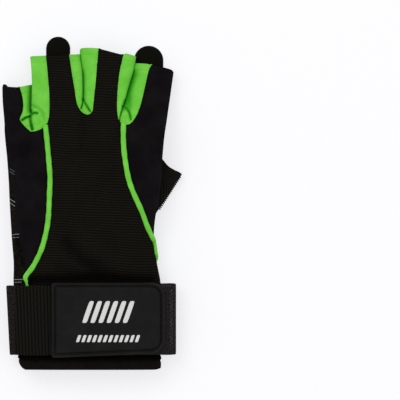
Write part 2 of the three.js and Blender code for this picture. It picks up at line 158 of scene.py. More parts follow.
# Fingers: where their two ends are past the hand's length, their height, and whether a pull tab lies under
# them
FINGER_ENDS = HAND_LENGTH + FINGER_REACH * np.array(
    [[0.472, 0.484], [0.872, 0.892], [0.995, 0.863], [0.766, 0.69]]
)
FINGER_HALF = FINGER_HEIGHT / 2 * np.array([0.92, 0.93, 1, 0.9])
FINGER_TAB = TAB_FLOOR * np.array([0, 1, 0, 1])
PINKY, RING, MIDDLE, INDEX = range(4)

# Seams under the piping: along, across
SEAMS = {
    "outer_piping": [
        [-0.1, -0.362], [0.06, -0.362], [0.28, -0.364], [0.346, -0.374], [0.372, -0.38], [0.414, -0.334],
        [0.478, -0.285], [0.542, -0.257], [0.606, -0.241], [0.702, -0.234], [0.766, -0.231], [0.83, -0.238],
        [0.894, -0.247], [0.958, -0.257], [1.01, -0.268],
    ],
    "inner_piping": [
        [0.34, 0.462], [0.39, 0.448], [0.42, 0.436], [0.455, 0.424], [0.486, 0.417], [0.526, 0.396],
        [0.574, 0.364], [0.638, 0.328], [0.702, 0.284], [0.758, 0.253], [0.83, 0.232], [0.894, 0.221],
        [0.958, 0.219], [1.01, 0.222],
    ],
}


def lerp(a, b, t):
    """The value a share t of the way from a to b."""
    return a + (b - a) * t


def ramp(t, low, high):
    """0 below low and 1 above high, with an S-shaped way between: 3 s squared less 2 s cubed."""
    s = np.clip((t - low) / (high - low), 0, 1)
    return s * s * (3 - 2 * s)


def dent(distance, width):
    """A bell: 1 at distance 0, and e to the power of minus (distance over width) squared elsewhere."""
    return np.exp(-((distance / width) ** 2))


def signed_power(v, power):
    """A number's size to a power, with the number's own sign."""
    return np.sign(v) * np.abs(v) ** power


def straight(a, b, count=40):
    """Evenly spaced points from a to b."""
    return lerp(np.array(a, float)[None], np.array(b, float)[None], np.linspace(0, 1, count)[:, None])


def lengths_along(line):
    """How far along a line each of its points lies."""
    return np.concatenate([[0], np.cumsum(np.hypot(*np.diff(line, axis=0).T))])


def through(points, fine=12):
    """Points on a smooth line through the given ones: between two of them a cubic, whose slope at each is
    half the step from the point before to the point after."""
    p = np.asarray(points, float)
    slope = (np.vstack([p[1:], p[-1:]]) - np.vstack([p[:1], p[:-1]])) / 2
    t = np.linspace(0, 1, fine, endpoint=False)[None, :, None]
    a, b, u, v = (q[:, None, :] for q in (p[:-1], p[1:], slope[:-1], slope[1:]))
    line = (2 * t**3 - 3 * t**2 + 1) * a + (3 * t**2 - 2 * t**3) * b
    line = line + (t**3 - 2 * t**2 + t) * u + (t**3 - t**2) * v
    return np.vstack([line.reshape(-1, p.shape[1]), p[-1:]])


def eased(table, column, x):
    """A table's column at x: a cubic between two rows, with the slopes of the rows round it, and level past
    its ends."""
    xs, ys = table[:, 0], table[:, column]
    slope = np.gradient(ys, xs)
    x = np.clip(x, xs[0], xs[-1])
    i = np.clip(np.searchsorted(xs, x) - 1, 0, len(xs) - 2)
    h = xs[i + 1] - xs[i]
    t = (x - xs[i]) / h
    from_a = (1 + 2 * t) * (1 - t) ** 2 * ys[i] + t * (1 - t) ** 2 * h * slope[i]
    return from_a + t * t * (3 - 2 * t) * ys[i + 1] - t * t * (1 - t) * h * slope[i + 1]


def from_line(x, y, line):
    """The distance from each place to a line of points: the least of the distances to its stretches."""
    a, b = line[:-1], line[1:]
    shape = np.shape(x)
    p = np.stack([np.ravel(x), np.ravel(y)], -1)
    least = np.full(len(p), np.inf)
    for start, way in zip(a, b - a):
        t = np.clip(((p - start) @ way) / max(way @ way, 1e-9), 0, 1)
        least = np.minimum(least, np.hypot(*(p - start - t[:, None] * way).T))
    return least.reshape(shape)


def inside(x, y, outline):
    """The distance to a closed outline, positive inside: a place is inside if a ray from it crosses an odd
    number of its sides."""
    ring = np.vstack([outline, outline[:1]])
    x, y = np.asarray(x, float), np.asarray(y, float)
    crossings = np.zeros(x.shape, int)
    for (x0, y0), (x1, y1) in zip(ring[:-1], ring[1:]):
        if y0 != y1:
            spans = (y0 > y) != (y1 > y)
            crossings += spans & (x < x0 + (y - y0) * (x1 - x0) / (y1 - y0))
    return np.where(crossings % 2 == 1, 1, -1) * from_line(x, y, ring)


def seam(name):
    """A seam's points seen from above, smooth, in millimetres."""
    along, across = through(SEAMS[name]).T
    return np.stack([across * PALM_WIDTH, along * HAND_LENGTH], -1)


def seen(*pixels):
    """Places in millimetres from the cuff's middle, of points given in the photograph's pixels."""
    p = np.array(pixels, float)
    return np.stack([(p[:, 0] - CUFF_PIXEL[0]) * PIXEL, (CUFF_PIXEL[1] - p[:, 1]) * PIXEL], -1)


# Outlines of the bright gussets seen from above, each from one side of its fingers' rims round to the other
GUSSETS = {
    "pinky_ring": seen(
        (15.5, 70), (18.6, 83), (20, 88), (22, 94.5), (23.2, 101), (23.4, 107), (22.6, 112), (20.6, 117),
        (20.2, 120), (23, 124.2), (27, 128.4), (30.5, 130.8), (34, 131.2), (38.5, 130.2), (42.5, 128.2),
        (45.8, 125.6), (48, 121.5), (49.2, 115), (49.8, 106), (49.5, 96), (48.4, 80), (46.7, 62), (45.6, 50),
        (45, 40),
    ),
    "ring_middle": seen(
        (68.2, 40), (69.2, 54), (70.6, 64), (72.6, 77), (74.8, 90), (76, 98), (77.4, 104.5), (79.8, 109.2),
        (83, 112.8), (87, 114.6), (90.4, 113.8), (92.8, 110.5), (93.5, 105), (94.4, 96), (95.6, 82), (97, 66),
        (98.5, 50), (99.2, 38),
    ),
    "middle_index": seen(
        (125.6, 44), (123.6, 54.6), (120.9, 66), (118.9, 78), (117.6, 92), (117.2, 104), (117.5, 112),
        (118.8, 119), (121.4, 122.8), (125.2, 124.8), (129, 124.4), (132.4, 122), (135.8, 117), (139, 110),
        (142.6, 97), (145.6, 84), (147.8, 73.5), (150, 67.6), (153.8, 62.4), (158, 57),
    ),
}


def left_edge(y):
    """Where the glove's left edge is at y."""
    return eased(EDGES, 1, y / HAND_LENGTH) * PALM_WIDTH


def right_edge(y):
    """Where the glove's right edge is at y."""
    return eased(EDGES, 2, y / HAND_LENGTH) * PALM_WIDTH


def hand_across(x, y):
    """Where a place lies across the hand: -1 at the left edge, 1 at the right one."""
    x0, x1 = left_edge(y), right_edge(y)
    return (2 * x - x0 - x1) / (x1 - x0)


def half_height(along):
    """Half the hand's height at a share of its length."""
    return eased(SECTIONS, 1, along) * HAND_HEIGHT / 2


def oval(share, power=OVAL_POWER):
    """How high an oval with bulging sides reaches at a place across it, or how far across at a height, all as
    shares of its half sizes."""
    return (1 - np.clip(np.abs(share), 0, 1) ** power) ** (1 / power)


def arch_drop(x):
    """How far the arch of the finger roots has dropped at x."""
    return ARCH_DEPTH * (2 * x / PALM_WIDTH) ** 2


def unbowed(x, y):
    """The share of the hand's length of the bowed section through a place: the y that, less its bow times the
    arch's drop, gives the place's own y."""
    at = y / HAND_LENGTH
    for _ in range(14):
        at = (y + eased(SECTIONS, 2, at) * arch_drop(x)) / HAND_LENGTH
    return at


def underside(x, y):
    """How high the lowest point of the hand lies: on the strap at the cuff, and on the thumb sleeve at its
    side."""
    share = (x - left_edge(y)) / (right_edge(y) - left_edge(y))
    along = y / HAND_LENGTH
    thumb = np.clip(eased(LIFTS, 2, along), 0, 1) * ramp(share, 0.3, 0.78) * (THUMB_HEIGHT + SEAM_GAP)
    return np.clip(eased(LIFTS, 1, along), 0, 1) * STRAP_FLOOR + thumb


def fold(k, y):
    """Where the fold line right of finger k is at y."""
    return eased(FOLDS, k + 1, y / HAND_LENGTH) * PALM_WIDTH


def finger_sides(k, y):
    """Where finger k's two sides are at y; past the start of a fold its two sleeves press into each other."""
    left, right = left_edge(y), right_edge(y)
    if k != PINKY:
        left = fold(k - 1, y) - FOLD_PRESS * ramp(y - FOLD_STARTS[k - 1], 0, 3)
    if k != INDEX:
        right = fold(k, y) + FOLD_PRESS * ramp(y - FOLD_STARTS[k], 0, 3)
    return left, right


def blend_of(x, y, k, side):
    """The height of the skin over finger k's stretch, roof at side 1 and floor at side -1: the hand's oval
    turns into the finger's own one past the arch of the finger roots."""
    left, right = finger_sides(k, y)
    along = unbowed(x, y)
    across = (2 * x - left - right) / (right - left)
    hand = oval(hand_across(x, y))
    round_top = np.where(across < 0, oval(across, LEFT_POWER[k]), oval(across, RIGHT_POWER[k]))
    left_start = SIDE_START if k == PINKY else FOLD_STARTS[k - 1]
    right_start = SIDE_START if k == INDEX else FOLD_STARTS[k]
    folded = ramp(y - np.where(across < 0, left_start, right_start), -1.5, 2.5)
    lobe = lerp(1, round_top, folded)
    neighbour = np.clip(k + np.sign(across).astype(int), 0, 3)
    tall, lifted = (
        lerp(lerp(table[k], table[neighbour], np.abs(across) / 2), table[k], folded)
        for table in (FINGER_HALF, FINGER_TAB)
    )
    if side < 0:
        hand, lobe = (-np.minimum(1, reach * FLAT_FOOT) for reach in (hand, oval(across)))
    foot, half, tab = underside(x, y), half_height(along), lifted * ramp(along, *TAB_LIFT)
    return lerp(foot + half * (1 + hand), foot + tab + tall * (1 + lobe), ramp(along, *PARTING))


def over(x, y, side=1):
    """The height of the skin at any place, with the finger found from the fold lines."""
    x, y = np.broadcast_arrays(np.asarray(x, float), np.asarray(y, float))
    which = sum((x > fold(k, y)).astype(int) for k in range(3))
    return np.choose(which, [blend_of(x, y, k, side) for k in range(4)])


# Wrinkles and creases of the cloth seen from above: points in millimetres, depth, width. The depth also sets
# the painted shade in the cloth's colour
LIME_CREASES = [
    (seen((83, 99), (82.8, 103), (81.3, 109.2)), 3.0, 0.5),
    (seen((83, 99.5), (86.5, 105.6), (90.4, 111.6)), 3.2, 0.5),
    (seen((85, 106.5), (86.2, 112)), -0.9, 1.7),
    (seen((125, 100), (122.4, 108), (121, 114), (119.6, 121)), 2.4, 0.5),
    (seen((122.6, 106.6), (126.6, 108.8), (129.4, 113), (131, 120)), 3.4, 0.55),
    (seen((125, 112), (124.5, 120)), -1.0, 1.9),
    (seen((129, 98), (130.6, 108)), 0.9, 1.6),
    (seen((31.4, 110), (31.9, 114.6), (34, 112.8), (37.4, 113.3)), 3.4, 0.6),
    (seen((30.2, 116.4), (26, 117.6), (22.2, 120)), 3.6, 0.6),
    (seen((30.4, 116.6), (31, 122.5), (32.4, 129.2)), 3.6, 0.75),
    (seen((31.6, 126), (32.6, 129.2)), 1.4, 1.1),
    (seen((34.6, 118), (37.4, 123)), -1.2, 2.0),
    (seen((27, 121.5), (27.6, 124.5)), -0.9, 1.4),
    (seen((33, 106), (39, 108.6), (43, 113.6), (44.6, 119)), 1.5, 1.1),
    (seen((30, 117), (26, 118.4), (23, 120.4)), 1.0, 1.5),
    (seen((31.8, 115), (37, 114)), 0.8, 1.4),
    (seen((40.5, 117), (40, 124)), 0.7, 1.3),
    (seen((85, 101.6), (90, 110.6)), 0.8, 1.3),
    (seen((128, 108.6), (131.6, 116)), 0.8, 1.5),
    (seen((72, 70), (74, 90)), 0.25, 2.0),
    (seen((92, 62), (90, 84)), 0.25, 2.2),
]
KNIT_CREASES = [
    (seen((68, 243), (80, 257), (92, 268), (101, 278)), 1.9, 4.0),
    (seen((96, 262), (106, 270), (118, 280)), 1.0, 3.2),
    (seen((48, 200), (60, 214), (66, 232)), 0.4, 6),
    (seen((100, 150), (112, 170), (118, 196)), 0.4, 7),
    (seen((60, 268), (78, 274), (100, 281)), 0.8, 3),
    (seen((28, 280.5), (90, 279.5), (150, 281)), 3.0, 3.6),
    (seen((83, 118), (84, 132), (82, 150)), 0.7, 3.2),
    (seen((121, 120), (119, 134), (112, 152)), 0.5, 3.2),
]
SIDE_CREASES = [
    (seen((17, 237), (21, 250), (24, 266)), 2.0, 1.3),
    (seen((17, 244), (18, 262), (20, 276)), 1.2, 1.2),
    (seen((14, 190), (24, 214), (28, 240)), 0.5, 4),
    (seen((14, 120), (22, 138), (26, 160)), 0.6, 4.5),
    (seen((150, 110), (146, 136), (150, 160)), 0.6, 5),
    (seen((136, 150), (140, 176), (150, 196)), 0.5, 4),
    (seen((31, 131), (30, 142), (27, 156)), 0.6, 2.6),
]


def relief(x, y, creases):
    """How far creases draw the cloth in at each place: the sum of each one's depth times a bell of the
    distance."""
    return sum(depth * dent(from_line(x, y, through(line, 5)), width) for line, depth, width in creases)


def seam_under(x, y, finger):
    """The height of the palm's seam under a place on a finger's stretch of the roof."""
    along = unbowed(x, y)
    sleeve = FINGER_TAB[finger] * ramp(along, *TAB_LIFT) + FINGER_HALF[finger] * 2 * PALM_SEAM
    return underside(x, y) + lerp(half_height(along) * 2 * PALM_SEAM, sleeve, ramp(along, *PARTING))


def sunk(z, seam_height, depth):
    """A height drawn in by a crease: a height h over the palm's seam becomes h times e to the power of minus
    the crease's depth over h, so nothing passes the seam."""
    h = np.maximum(z - seam_height, 0.01)
    return np.where(depth > 0, z + h * (np.exp(-np.maximum(depth, 0) / h) - 1), z - depth)


def grid_faces(rows, columns):
    """Two triangles for each cell of a grid of points, turning left seen from above when columns run along
    +X."""
    n = np.arange(rows * columns).reshape(rows, columns)
    a, b, c, d = n[:-1, :-1].ravel(), n[:-1, 1:].ravel(), n[1:, 1:].ravel(), n[1:, :-1].ravel()
    return np.vstack([np.stack([a, b, c], -1), np.stack([a, c, d], -1)])


def together(parts):
    """Several (points, faces) as one, with places closer than 0.01 mm joined; a point's further columns go
    along."""
    offsets = np.cumsum([0] + [len(p) for p, _ in parts[:-1]])
    points = np.vstack([p for p, _ in parts])
    faces = np.vstack([f + o for (_, f), o in zip(parts, offsets)])
    near = np.round(points[:, :3] / 0.01).astype(np.int64)
    _, first, same = np.unique(near, axis=0, return_index=True, return_inverse=True)
    faces = same.reshape(-1)[faces]
    keep = (faces[:, 0] != faces[:, 1]) & (faces[:, 1] != faces[:, 2]) & (faces[:, 2] != faces[:, 0])
    return points[first], faces[keep]


def cut(points, faces, value):
    """The part of a mesh of triangles where value, one number for each point, is positive: triangles across
    its zero line are cut there, at the share of each side where value passes 0."""
    value = np.where(np.abs(value) < 1e-6, 1e-6, value)
    sign = value[faces] > 0
    count = sign.sum(1)
    kept = [faces[count == 3]]
    edges = []
    for number, spin in ((1, True), (2, False)):
        group, signs = faces[count == number], sign[count == number]
        lone = np.argmax(signs if spin else ~signs, axis=1)
        a, b, c = (np.take_along_axis(group, ((lone + k) % 3)[:, None], 1)[:, 0] for k in range(3))
        edges.append((a, b, c))
    (a1, b1, c1), (a2, b2, c2) = edges
    pairs = np.vstack([np.stack(p, -1) for p in ((a1, b1), (a1, c1), (a2, b2), (a2, c2))])
    keys, which = np.unique(np.sort(pairs, axis=1), axis=0, return_inverse=True)
    which = which.reshape(-1)
    t = (value[keys[:, 0]] / (value[keys[:, 0]] - value[keys[:, 1]]))[:, None]
    new = lerp(points[keys[:, 0]], points[keys[:, 1]], t)
    ids = which + len(points)
    n1, n2 = len(a1), len(a2)
    ab1, ac1, ab2, ac2 = ids[:n1], ids[n1:2 * n1], ids[2 * n1:2 * n1 + n2], ids[2 * n1 + n2:]
    made = [np.stack([a1, ab1, ac1], -1), np.stack([b2, c2, ab2], -1), np.stack([c2, ac2, ab2], -1)]
    faces = np.vstack(kept + made)
    points = np.vstack([points, new])
    used = np.unique(faces)
    order = np.full(len(points), -1)
    order[used] = np.arange(len(used))
    return points[used], order[faces]


def across_steps(count):
    """Places across a sleeve, close together at its two sides: the signed power of the cosine of even
    turns."""
    turn = np.linspace(np.pi, 0, count)
    return signed_power(np.cos(turn), 2 / OVAL_POWER)


# Rows and columns of the two skins: rows up to SPLIT are the hand's, and the others each finger's own
SPLIT = 143.0
HAND_ROWS = np.arange(0, SPLIT + 0.1, 0.8)
FINGER_ROWS = 128
STRIP_COLUMNS = [48, 58, 56, 60]
FLOOR_COLUMNS = [26, 30, 30, 32]

# The rim of each finger's open end
FINGER_RIMS = [
    seen((3.0, 87.2), (4.6, 84.2), (7.6, 86.5), (18, 87.3), (21, 86.9), (31.8, 84.6)),
    seen((30.2, 57.2), (32.5, 56.3), (46, 55.9), (69, 54.9), (80.6, 54.2)),
    seen(
        (80.5, 50.2), (82.5, 48.2), (89, 47.9), (97.4, 48.4), (110, 51.6), (122.4, 54.7), (126, 53.6),
        (135.3, 56.4),
    ),
    seen(
        (134.8, 63.2), (147, 63.9), (150.2, 65.0), (151.6, 64.2), (153.6, 65.6), (163, 67.2), (172, 69.8),
        (174.6, 72.4),
    ),
]


def open_end(k, share):
    """How far finger k's open end reaches at a share across it: a smooth line through its rim's points."""
    x, y = through(FINGER_RIMS[k], 8).T
    return np.interp(share, (x - x[0]) / (x[-1] - x[0]), y)


def strip(k, side, rows):
    """Finger k's stretch of a skin: columns at the places across it, rows up the hand or up to the sleeve's
    open end, and the height from the skin's own formula. A point's fourth number is its finger."""
    across = across_steps((STRIP_COLUMNS if side > 0 else FLOOR_COLUMNS)[k])
    if rows == "hand":
        y = np.repeat(HAND_ROWS[:: 1 if side > 0 else 2, None], len(across), 1)
    else:
        count = FINGER_ROWS if side > 0 else FINGER_ROWS // 2
        y = lerp(HAND_ROWS[-1], open_end(k, (across + 1) / 2)[None, :], np.linspace(0, 1, count)[:, None])
    left, right = finger_sides(k, y)
    x = lerp(left, right, (across + 1) / 2)
    if side < 0:
        reach = oval(1 - 2 * PALM_SEAM)
        near = 0 if rows == "hand" else ramp(unbowed(x, y), *PARTING)
        middle, wide = (left + right) / 2, lerp(left_edge(y), right_edge(y), 0.5)
        x = lerp(wide + (x - wide) * reach, middle + (x - middle) * reach, near)
    points = np.stack([x, y, blend_of(x, y, k, side), k + 0 * x], -1).reshape(-1, 4)
    faces = grid_faces(*x.shape)
    return points, faces if side > 0 else faces[:, ::-1]


def skirt(k, side, rows):
    """The side wall of finger k's sleeve, or of the hand under it: rows along +Y, and columns from the edge
    of its strip down to a little past the palm's seam."""
    down = np.linspace(0, 1 - 2 * PALM_SEAM + 0.04, 9)[None, :]
    if rows == "hand":
        y = HAND_ROWS[:, None] + 0 * down
    else:
        end = open_end(k, 1.0 if side > 0 else 0.0)
        y = lerp(HAND_ROWS[-1], end, np.linspace(0, 1, FINGER_ROWS)[:, None]) + 0 * down
    left, right = finger_sides(k, y)
    edge = right if side > 0 else left
    along = unbowed(edge, y)
    parted = ramp(along, *PARTING)
    half_width = (right - left) / 2
    if (k, side) in ((PINKY, -1), (INDEX, 1)):
        half_width = lerp((right_edge(y) - left_edge(y)) / 2, half_width, parted)
    x = edge - side * (1 - oval(down)) * half_width
    foot, half, tab = underside(edge, y), half_height(along), FINGER_TAB[k] * ramp(along, *TAB_LIFT)
    z = lerp(foot + half * (1 - down), foot + tab + FINGER_HALF[k] * (1 - down), parted)
    z += (blend_of(edge, y, k, 1) - z[:, :1]) * (1 - down / down[0, -1])
    points = np.stack([x, y, z, k + 0 * x], -1).reshape(-1, 4)
    faces = grid_faces(*x.shape)
    return points, faces[:, ::-1] if side < 0 else faces


roof = together(
    [strip(k, 1, rows) for k in range(4) for rows in ("hand", "finger")]
    + [skirt(k, side, rows) for k, side in ((PINKY, -1), (INDEX, 1)) for rows in ("hand", "finger")]
    + [skirt(k, 1, "finger") for k in (PINKY, RING, MIDDLE)]
    + [skirt(k, -1, "finger") for k in (RING, MIDDLE, INDEX)]
)
floor_skin = together([strip(k, -1, rows) for k in range(4) for rows in ("hand", "finger")])

# Zones seen from above
gusset_lines = {name: through(line) for name, line in GUSSETS.items()}
piping_lines = {name: seam(name) for name in ("outer_piping", "inner_piping")}
pinky_side = gusset_lines["pinky_ring"]
pinky_side = pinky_side[: np.argmin(pinky_side[:, 1])][::-1]
index_side = gusset_lines["middle_index"]
index_side = index_side[np.argmin(index_side[:, 1]) + 1:]


def spot(across, along):
    """A place in millimetres from shares of the palm's width and the hand's length."""
    return [across * PALM_WIDTH, along * HAND_LENGTH]


outer_zone = np.vstack([[spot(-0.8, -0.2)], piping_lines["outer_piping"], pinky_side, [spot(-0.8, 1.5)]])
thumb_zone = np.vstack([[spot(0.8, 0.34)], piping_lines["inner_piping"], index_side, [spot(0.8, 1.5)]])
rx, ry = roof[0][:, 0], roof[0][:, 1]
in_gusset = {name: inside(rx, ry, line) for name, line in gusset_lines.items()}
in_outer, in_thumb = inside(rx, ry, outer_zone), inside(rx, ry, thumb_zone)
any_gusset = np.maximum.reduce(list(in_gusset.values()))
from_cuff = ry - STRAP_FOOT
tuck = PIPING_WIDTH / 2 * 0.55
near_piping = np.minimum(*(from_line(rx, ry, line) for line in piping_lines.values()))

# Each sleeve's hem swells a little past a sewn line, and the cloth dips along every seam; in the knit and
# stretch cloth the dip also sets painted shade
which_finger = roof[0][:, 3].astype(int)
finger_left = np.choose(which_finger, [finger_sides(k, ry)[0] for k in range(4)])
finger_right = np.choose(which_finger, [finger_sides(k, ry)[1] for k in range(4)])
share = np.clip((rx - finger_left) / (finger_right - finger_left), 0, 1)
to_end = np.choose(which_finger, [open_end(k, share) for k in range(4)]) - ry
hem = 0.2 * ramp(-to_end, -4.4, -3.4) - 0.2 * dent(to_end - 4.2, 0.45)
dip = dent(any_gusset, 1.0) * ramp(to_end, -1, 3) + 0.55 * dent(near_piping - PIPING_WIDTH / 2, 1.1)

# How deep the gussets dip beside the folds, which also paints shade there, and how much more painted shade
# they
# get there: fold, finger, amount, width, low y, high y
FOLD_DIPS = (
    (PINKY, PINKY, 2.6, 1.9, 156, 190),
    (RING, MIDDLE, 1.6, 1.6, 164, 182),
    (MIDDLE, INDEX, 2.6, 2.8, 156, 182),
)
FOLD_SHADES = (
    (PINKY, RING, 0.5, 4, 154, 172),
    (RING, MIDDLE, 0.7, 3.6, 160, 190),
    (MIDDLE, INDEX, 1.1, 6.5, 156, 190),
)


def by_folds(table):
    """The sum of a table's bells, each round its fold on one finger's side and between its low and high y."""
    total = 0
    for k, finger, amount, width, low, high in table:
        stretch = (which_finger == finger) * ramp(ry, low, low + 6) * ramp(-ry, -high - 6, -high)
        total = total + amount * dent(rx - fold(k, ry), width) * stretch
    return total


# How far creases draw each cloth in, which also sets the painted shade in its colour, and how far it is drawn
# in altogether
creased = {
    "lime": relief(rx, ry, LIME_CREASES) + by_folds(FOLD_DIPS),
    "knit": relief(rx, ry, KNIT_CREASES) + dip * 0.6,
    "stretch": relief(rx, ry, SIDE_CREASES) + dip * 0.6,
}
drawn = {cloth: depth + dip * (0.75 if cloth == "lime" else 0.4) for cloth, depth in creased.items()}
# Painted shade on the gussets beside the folds
shaded = by_folds(FOLD_SHADES)
seam_height = seam_under(rx, ry, which_finger)
# The depth of crease and dip at which the painted shade is fullest
DARKEST = 3.2


def panel(value, cloth):
    """A panel of the roof where value is positive, drawn in by its creases and swollen at its hems; near the
    open ends only the roof itself, not the walls down to the palm. A point's last three numbers are its place
    before that and how much painted shade its colour gets in the creases and beside the folds."""
    points, faces = roof
    up = np.where(to_end < 60, 1, ramp(points[:, 2] - over(points[:, 0], points[:, 1]), -1.5, 0))
    moved = points[:, :3].copy()
    moved[:, 2] = sunk(points[:, 2], seam_height, drawn[cloth] * up) + hem * up
    # Painted shade for the cloth's colour: deeper creases and dips, and the gussets beside the folds, are
    # painted darker
    painted_crease_shade = np.clip((creased[cloth] + (shaded if cloth == "lime" else 0)) / DARKEST, 0, 1) * up
    return cut(np.column_stack([moved, points[:, :2], painted_crease_shade]), faces, np.minimum(value, from_cuff))


class Wire:
    """A socket of a material on which sums are written; each sum adds its Math node."""

    def __init__(self, tree, socket):
        self.tree, self.socket = tree, socket

    def feed(self, place):
        """Joins the wire to an input."""
        self.tree.links.new(self.socket, place)

    def math(self, operation, *others):
        """The wire and any others through a Math node."""
        node = self.tree.nodes.new("ShaderNodeMath")
        node.operation = operation
        for place, value in zip(node.inputs, (self, *others)):
            put(value, place)
        return Wire(self.tree, node.outputs[0])

    def __add__(self, other):
        return self.math("ADD", other)

    def __sub__(self, other):
        return self.math("SUBTRACT", other)

    def __rsub__(self, other):
        return self.math("MULTIPLY", -1) + other

    def __mul__(self, other):
        return self.math("MULTIPLY", other)

    def __truediv__(self, other):
        return self.math("DIVIDE", other)

    def __pow__(self, other):
        return self.math("POWER", other)

    def __abs__(self):
        return self.math("ABSOLUTE")

    __radd__, __rmul__ = __add__, __mul__

    def wave(self, pitch):
        """0 to 1 and back once in each pitch."""
        return (self * (2 * np.pi / pitch)).math("SINE") * 0.5 + 0.5

    def ramp(self, low, high):
        """0 below low and 1 above high, with an S-shaped way between."""
        node = self.tree.nodes.new("ShaderNodeMapRange")
        node.interpolation_type = "SMOOTHSTEP"
        for place, value in zip(node.inputs[:5], (self, low, high, 0, 1)):
            put(value, place)
        return Wire(self.tree, node.outputs[0])


def put(value, place):
    """Sets a socket's number, or joins it to a wire."""
    if isinstance(value, Wire):
        value.feed(place)
    else:
        place.default_value = value


def linear(red, green, blue):
    """A colour of the photograph, 0 to 255, as the shader's linear light."""
    c = np.array([red, green, blue]) / 255
    return (*np.where(c <= 0.04045, c / 12.92, ((c + 0.055) / 1.055) ** 2.4), 1.0)


class Finish:
    """A material of one of the glove's stuffs; node() adds any node to it and gives one of its outputs as a
    wire."""

    def __init__(self, name, roughness, sheen=0.0, specular=0.3):
        self.material = bpy.data.materials.new(name)
        self.material.use_nodes = True
        self.tree = self.material.node_tree
        self.shader = self.tree.nodes["Principled BSDF"]
        self.shader.inputs["Roughness"].default_value = roughness
        self.shader.inputs["Specular IOR Level"].default_value = specular
        self.shader.inputs["Sheen Weight"].default_value = sheen
        self.shader.inputs["Sheen Roughness"].default_value = 0.5

    def node(self, kind, settings=None, values=None, out=0):
        """Adds a node with its settings and inputs, and gives one of its outputs."""
        node = self.tree.nodes.new(kind)
        for name, value in (settings or {}).items():
            setattr(node, name, value)
        for name, value in (values or {}).items():
            put(value, node.inputs[name])
        return Wire(self.tree, node.outputs[out])

    def axes(self, vector):
        """A vector's three numbers as wires."""
        node = self.tree.nodes.new("ShaderNodeSeparateXYZ")
        vector.feed(node.inputs[0])
        return [Wire(self.tree, place) for place in node.outputs]

    def place(self):
        """Object coordinates in millimetres."""
        at = self.node("ShaderNodeTexCoord", out="Object")
        return self.node("ShaderNodeVectorMath", {"operation": "SCALE"}, {0: at, "Scale": 1 / MM})

    def cloth(self):
        """The cloth's own coordinates in millimetres, from the piece's UV map."""
        at = self.node("ShaderNodeUVMap", {"uv_map": "cloth"})
        return self.node("ShaderNodeVectorMath", {"operation": "SCALE"}, {0: at, "Scale": 1 / MM})

    def threads(self):
        """The cloth's own coordinates, and the first two of them as wires."""
        at = self.cloth()
        u, v, _ = self.axes(at)
        return at, u, v

    def painted_crease_shade(self):
        """The painted shade of creases, seams and folds, 0 to 1, from the piece's own attribute."""
        return self.node("ShaderNodeAttribute", {"attribute_name": "painted_crease_shade"}, out="Fac")

    def noise(self, at, scale, detail=2.0):
        """Soft noise, 0 to 1, with so many lumps to a millimetre."""
        values = {"Vector": at, "Scale": scale, "Detail": detail, "Roughness": 0.55}
        return self.node("ShaderNodeTexNoise", {}, values)

    def mix(self, share, first, second):
        """A colour a share of the way from the first to the second."""
        node = self.tree.nodes.new("ShaderNodeMix")
        node.data_type = "RGBA"
        put(share, node.inputs["Factor"])
        put(first, node.inputs[6])
        put(second, node.inputs[7])
        return Wire(self.tree, node.outputs[2])

    def colour(self, wire):
        """Gives the shader its colour."""
        put(wire, self.shader.inputs["Base Color"])

    def rough(self, wire):
        """Gives the shader its roughness."""
        put(wire, self.shader.inputs["Roughness"])

    def bump(self, height, distance, strength=1.0):
        """Raises the surface by a height of 0 to 1, times a distance in millimetres."""
        values = {"Height": height, "Distance": distance * MM, "Strength": strength}
        self.node("ShaderNodeBump", {}, values).feed(self.shader.inputs["Normal"])


def knit_finish():
    """Fine raised ribs across the hand, 1.63 mm apart, which sway and break up into small loops in places;
    painted shade darkens it in creases and along seams.
    """
    f = Finish("ribbed knit", 0.85, sheen=0.012, specular=0.0)
    at, u, v = f.threads()
    sway = f.noise(at, 0.05) * 2.4 + f.noise(at, 0.4) * 0.35
    rib = (v + sway + u * 0.04).wave(1.63)
    patch = f.noise(at, 0.07, 3.0)
    loop = (u + v * 0.31).wave(1.5) * patch.ramp(0.42, 0.62)
    height = rib * (1.0 - loop * 0.55)
    shade = height * (0.4 + f.noise(at, 0.6) * 0.8) * (0.6 + patch * 0.7)
    # Painted shade: the colour darkens towards near-black where creases and seams dip
    f.colour(f.mix(f.painted_crease_shade() * 0.75, f.mix(shade, linear(14, 13, 11), linear(34, 32, 27)), linear(5, 4, 4)))
    f.rough(0.9 - rib * 0.12)
    f.bump(height, 0.2, 0.65)
    return f.material


def thumb_finish():
    """The thumb's plain knit: smooth by the open end, with rows of small dark holes further down."""
    f = Finish("thumb knit", 0.85, sheen=0.012, specular=0.0)
    at, u, v = f.threads()
    holes = (u + v * 0.5).wave(1.7) * (v - u * 0.2).wave(1.5)
    open_part = (v * -1 + f.noise(at, 0.2) * 9).ramp(13, 20)
    broad = f.noise(at, 0.15, 3.0)
    shade = broad * 0.35 + 0.1 + (holes - 0.25) * open_part * 0.9
    f.colour(f.mix(shade, linear(10, 10, 7), linear(44, 42, 34)))
    f.bump(f.noise(at, 1.2) * 0.3 - holes * open_part, 0.2, 0.8)
    return f.material


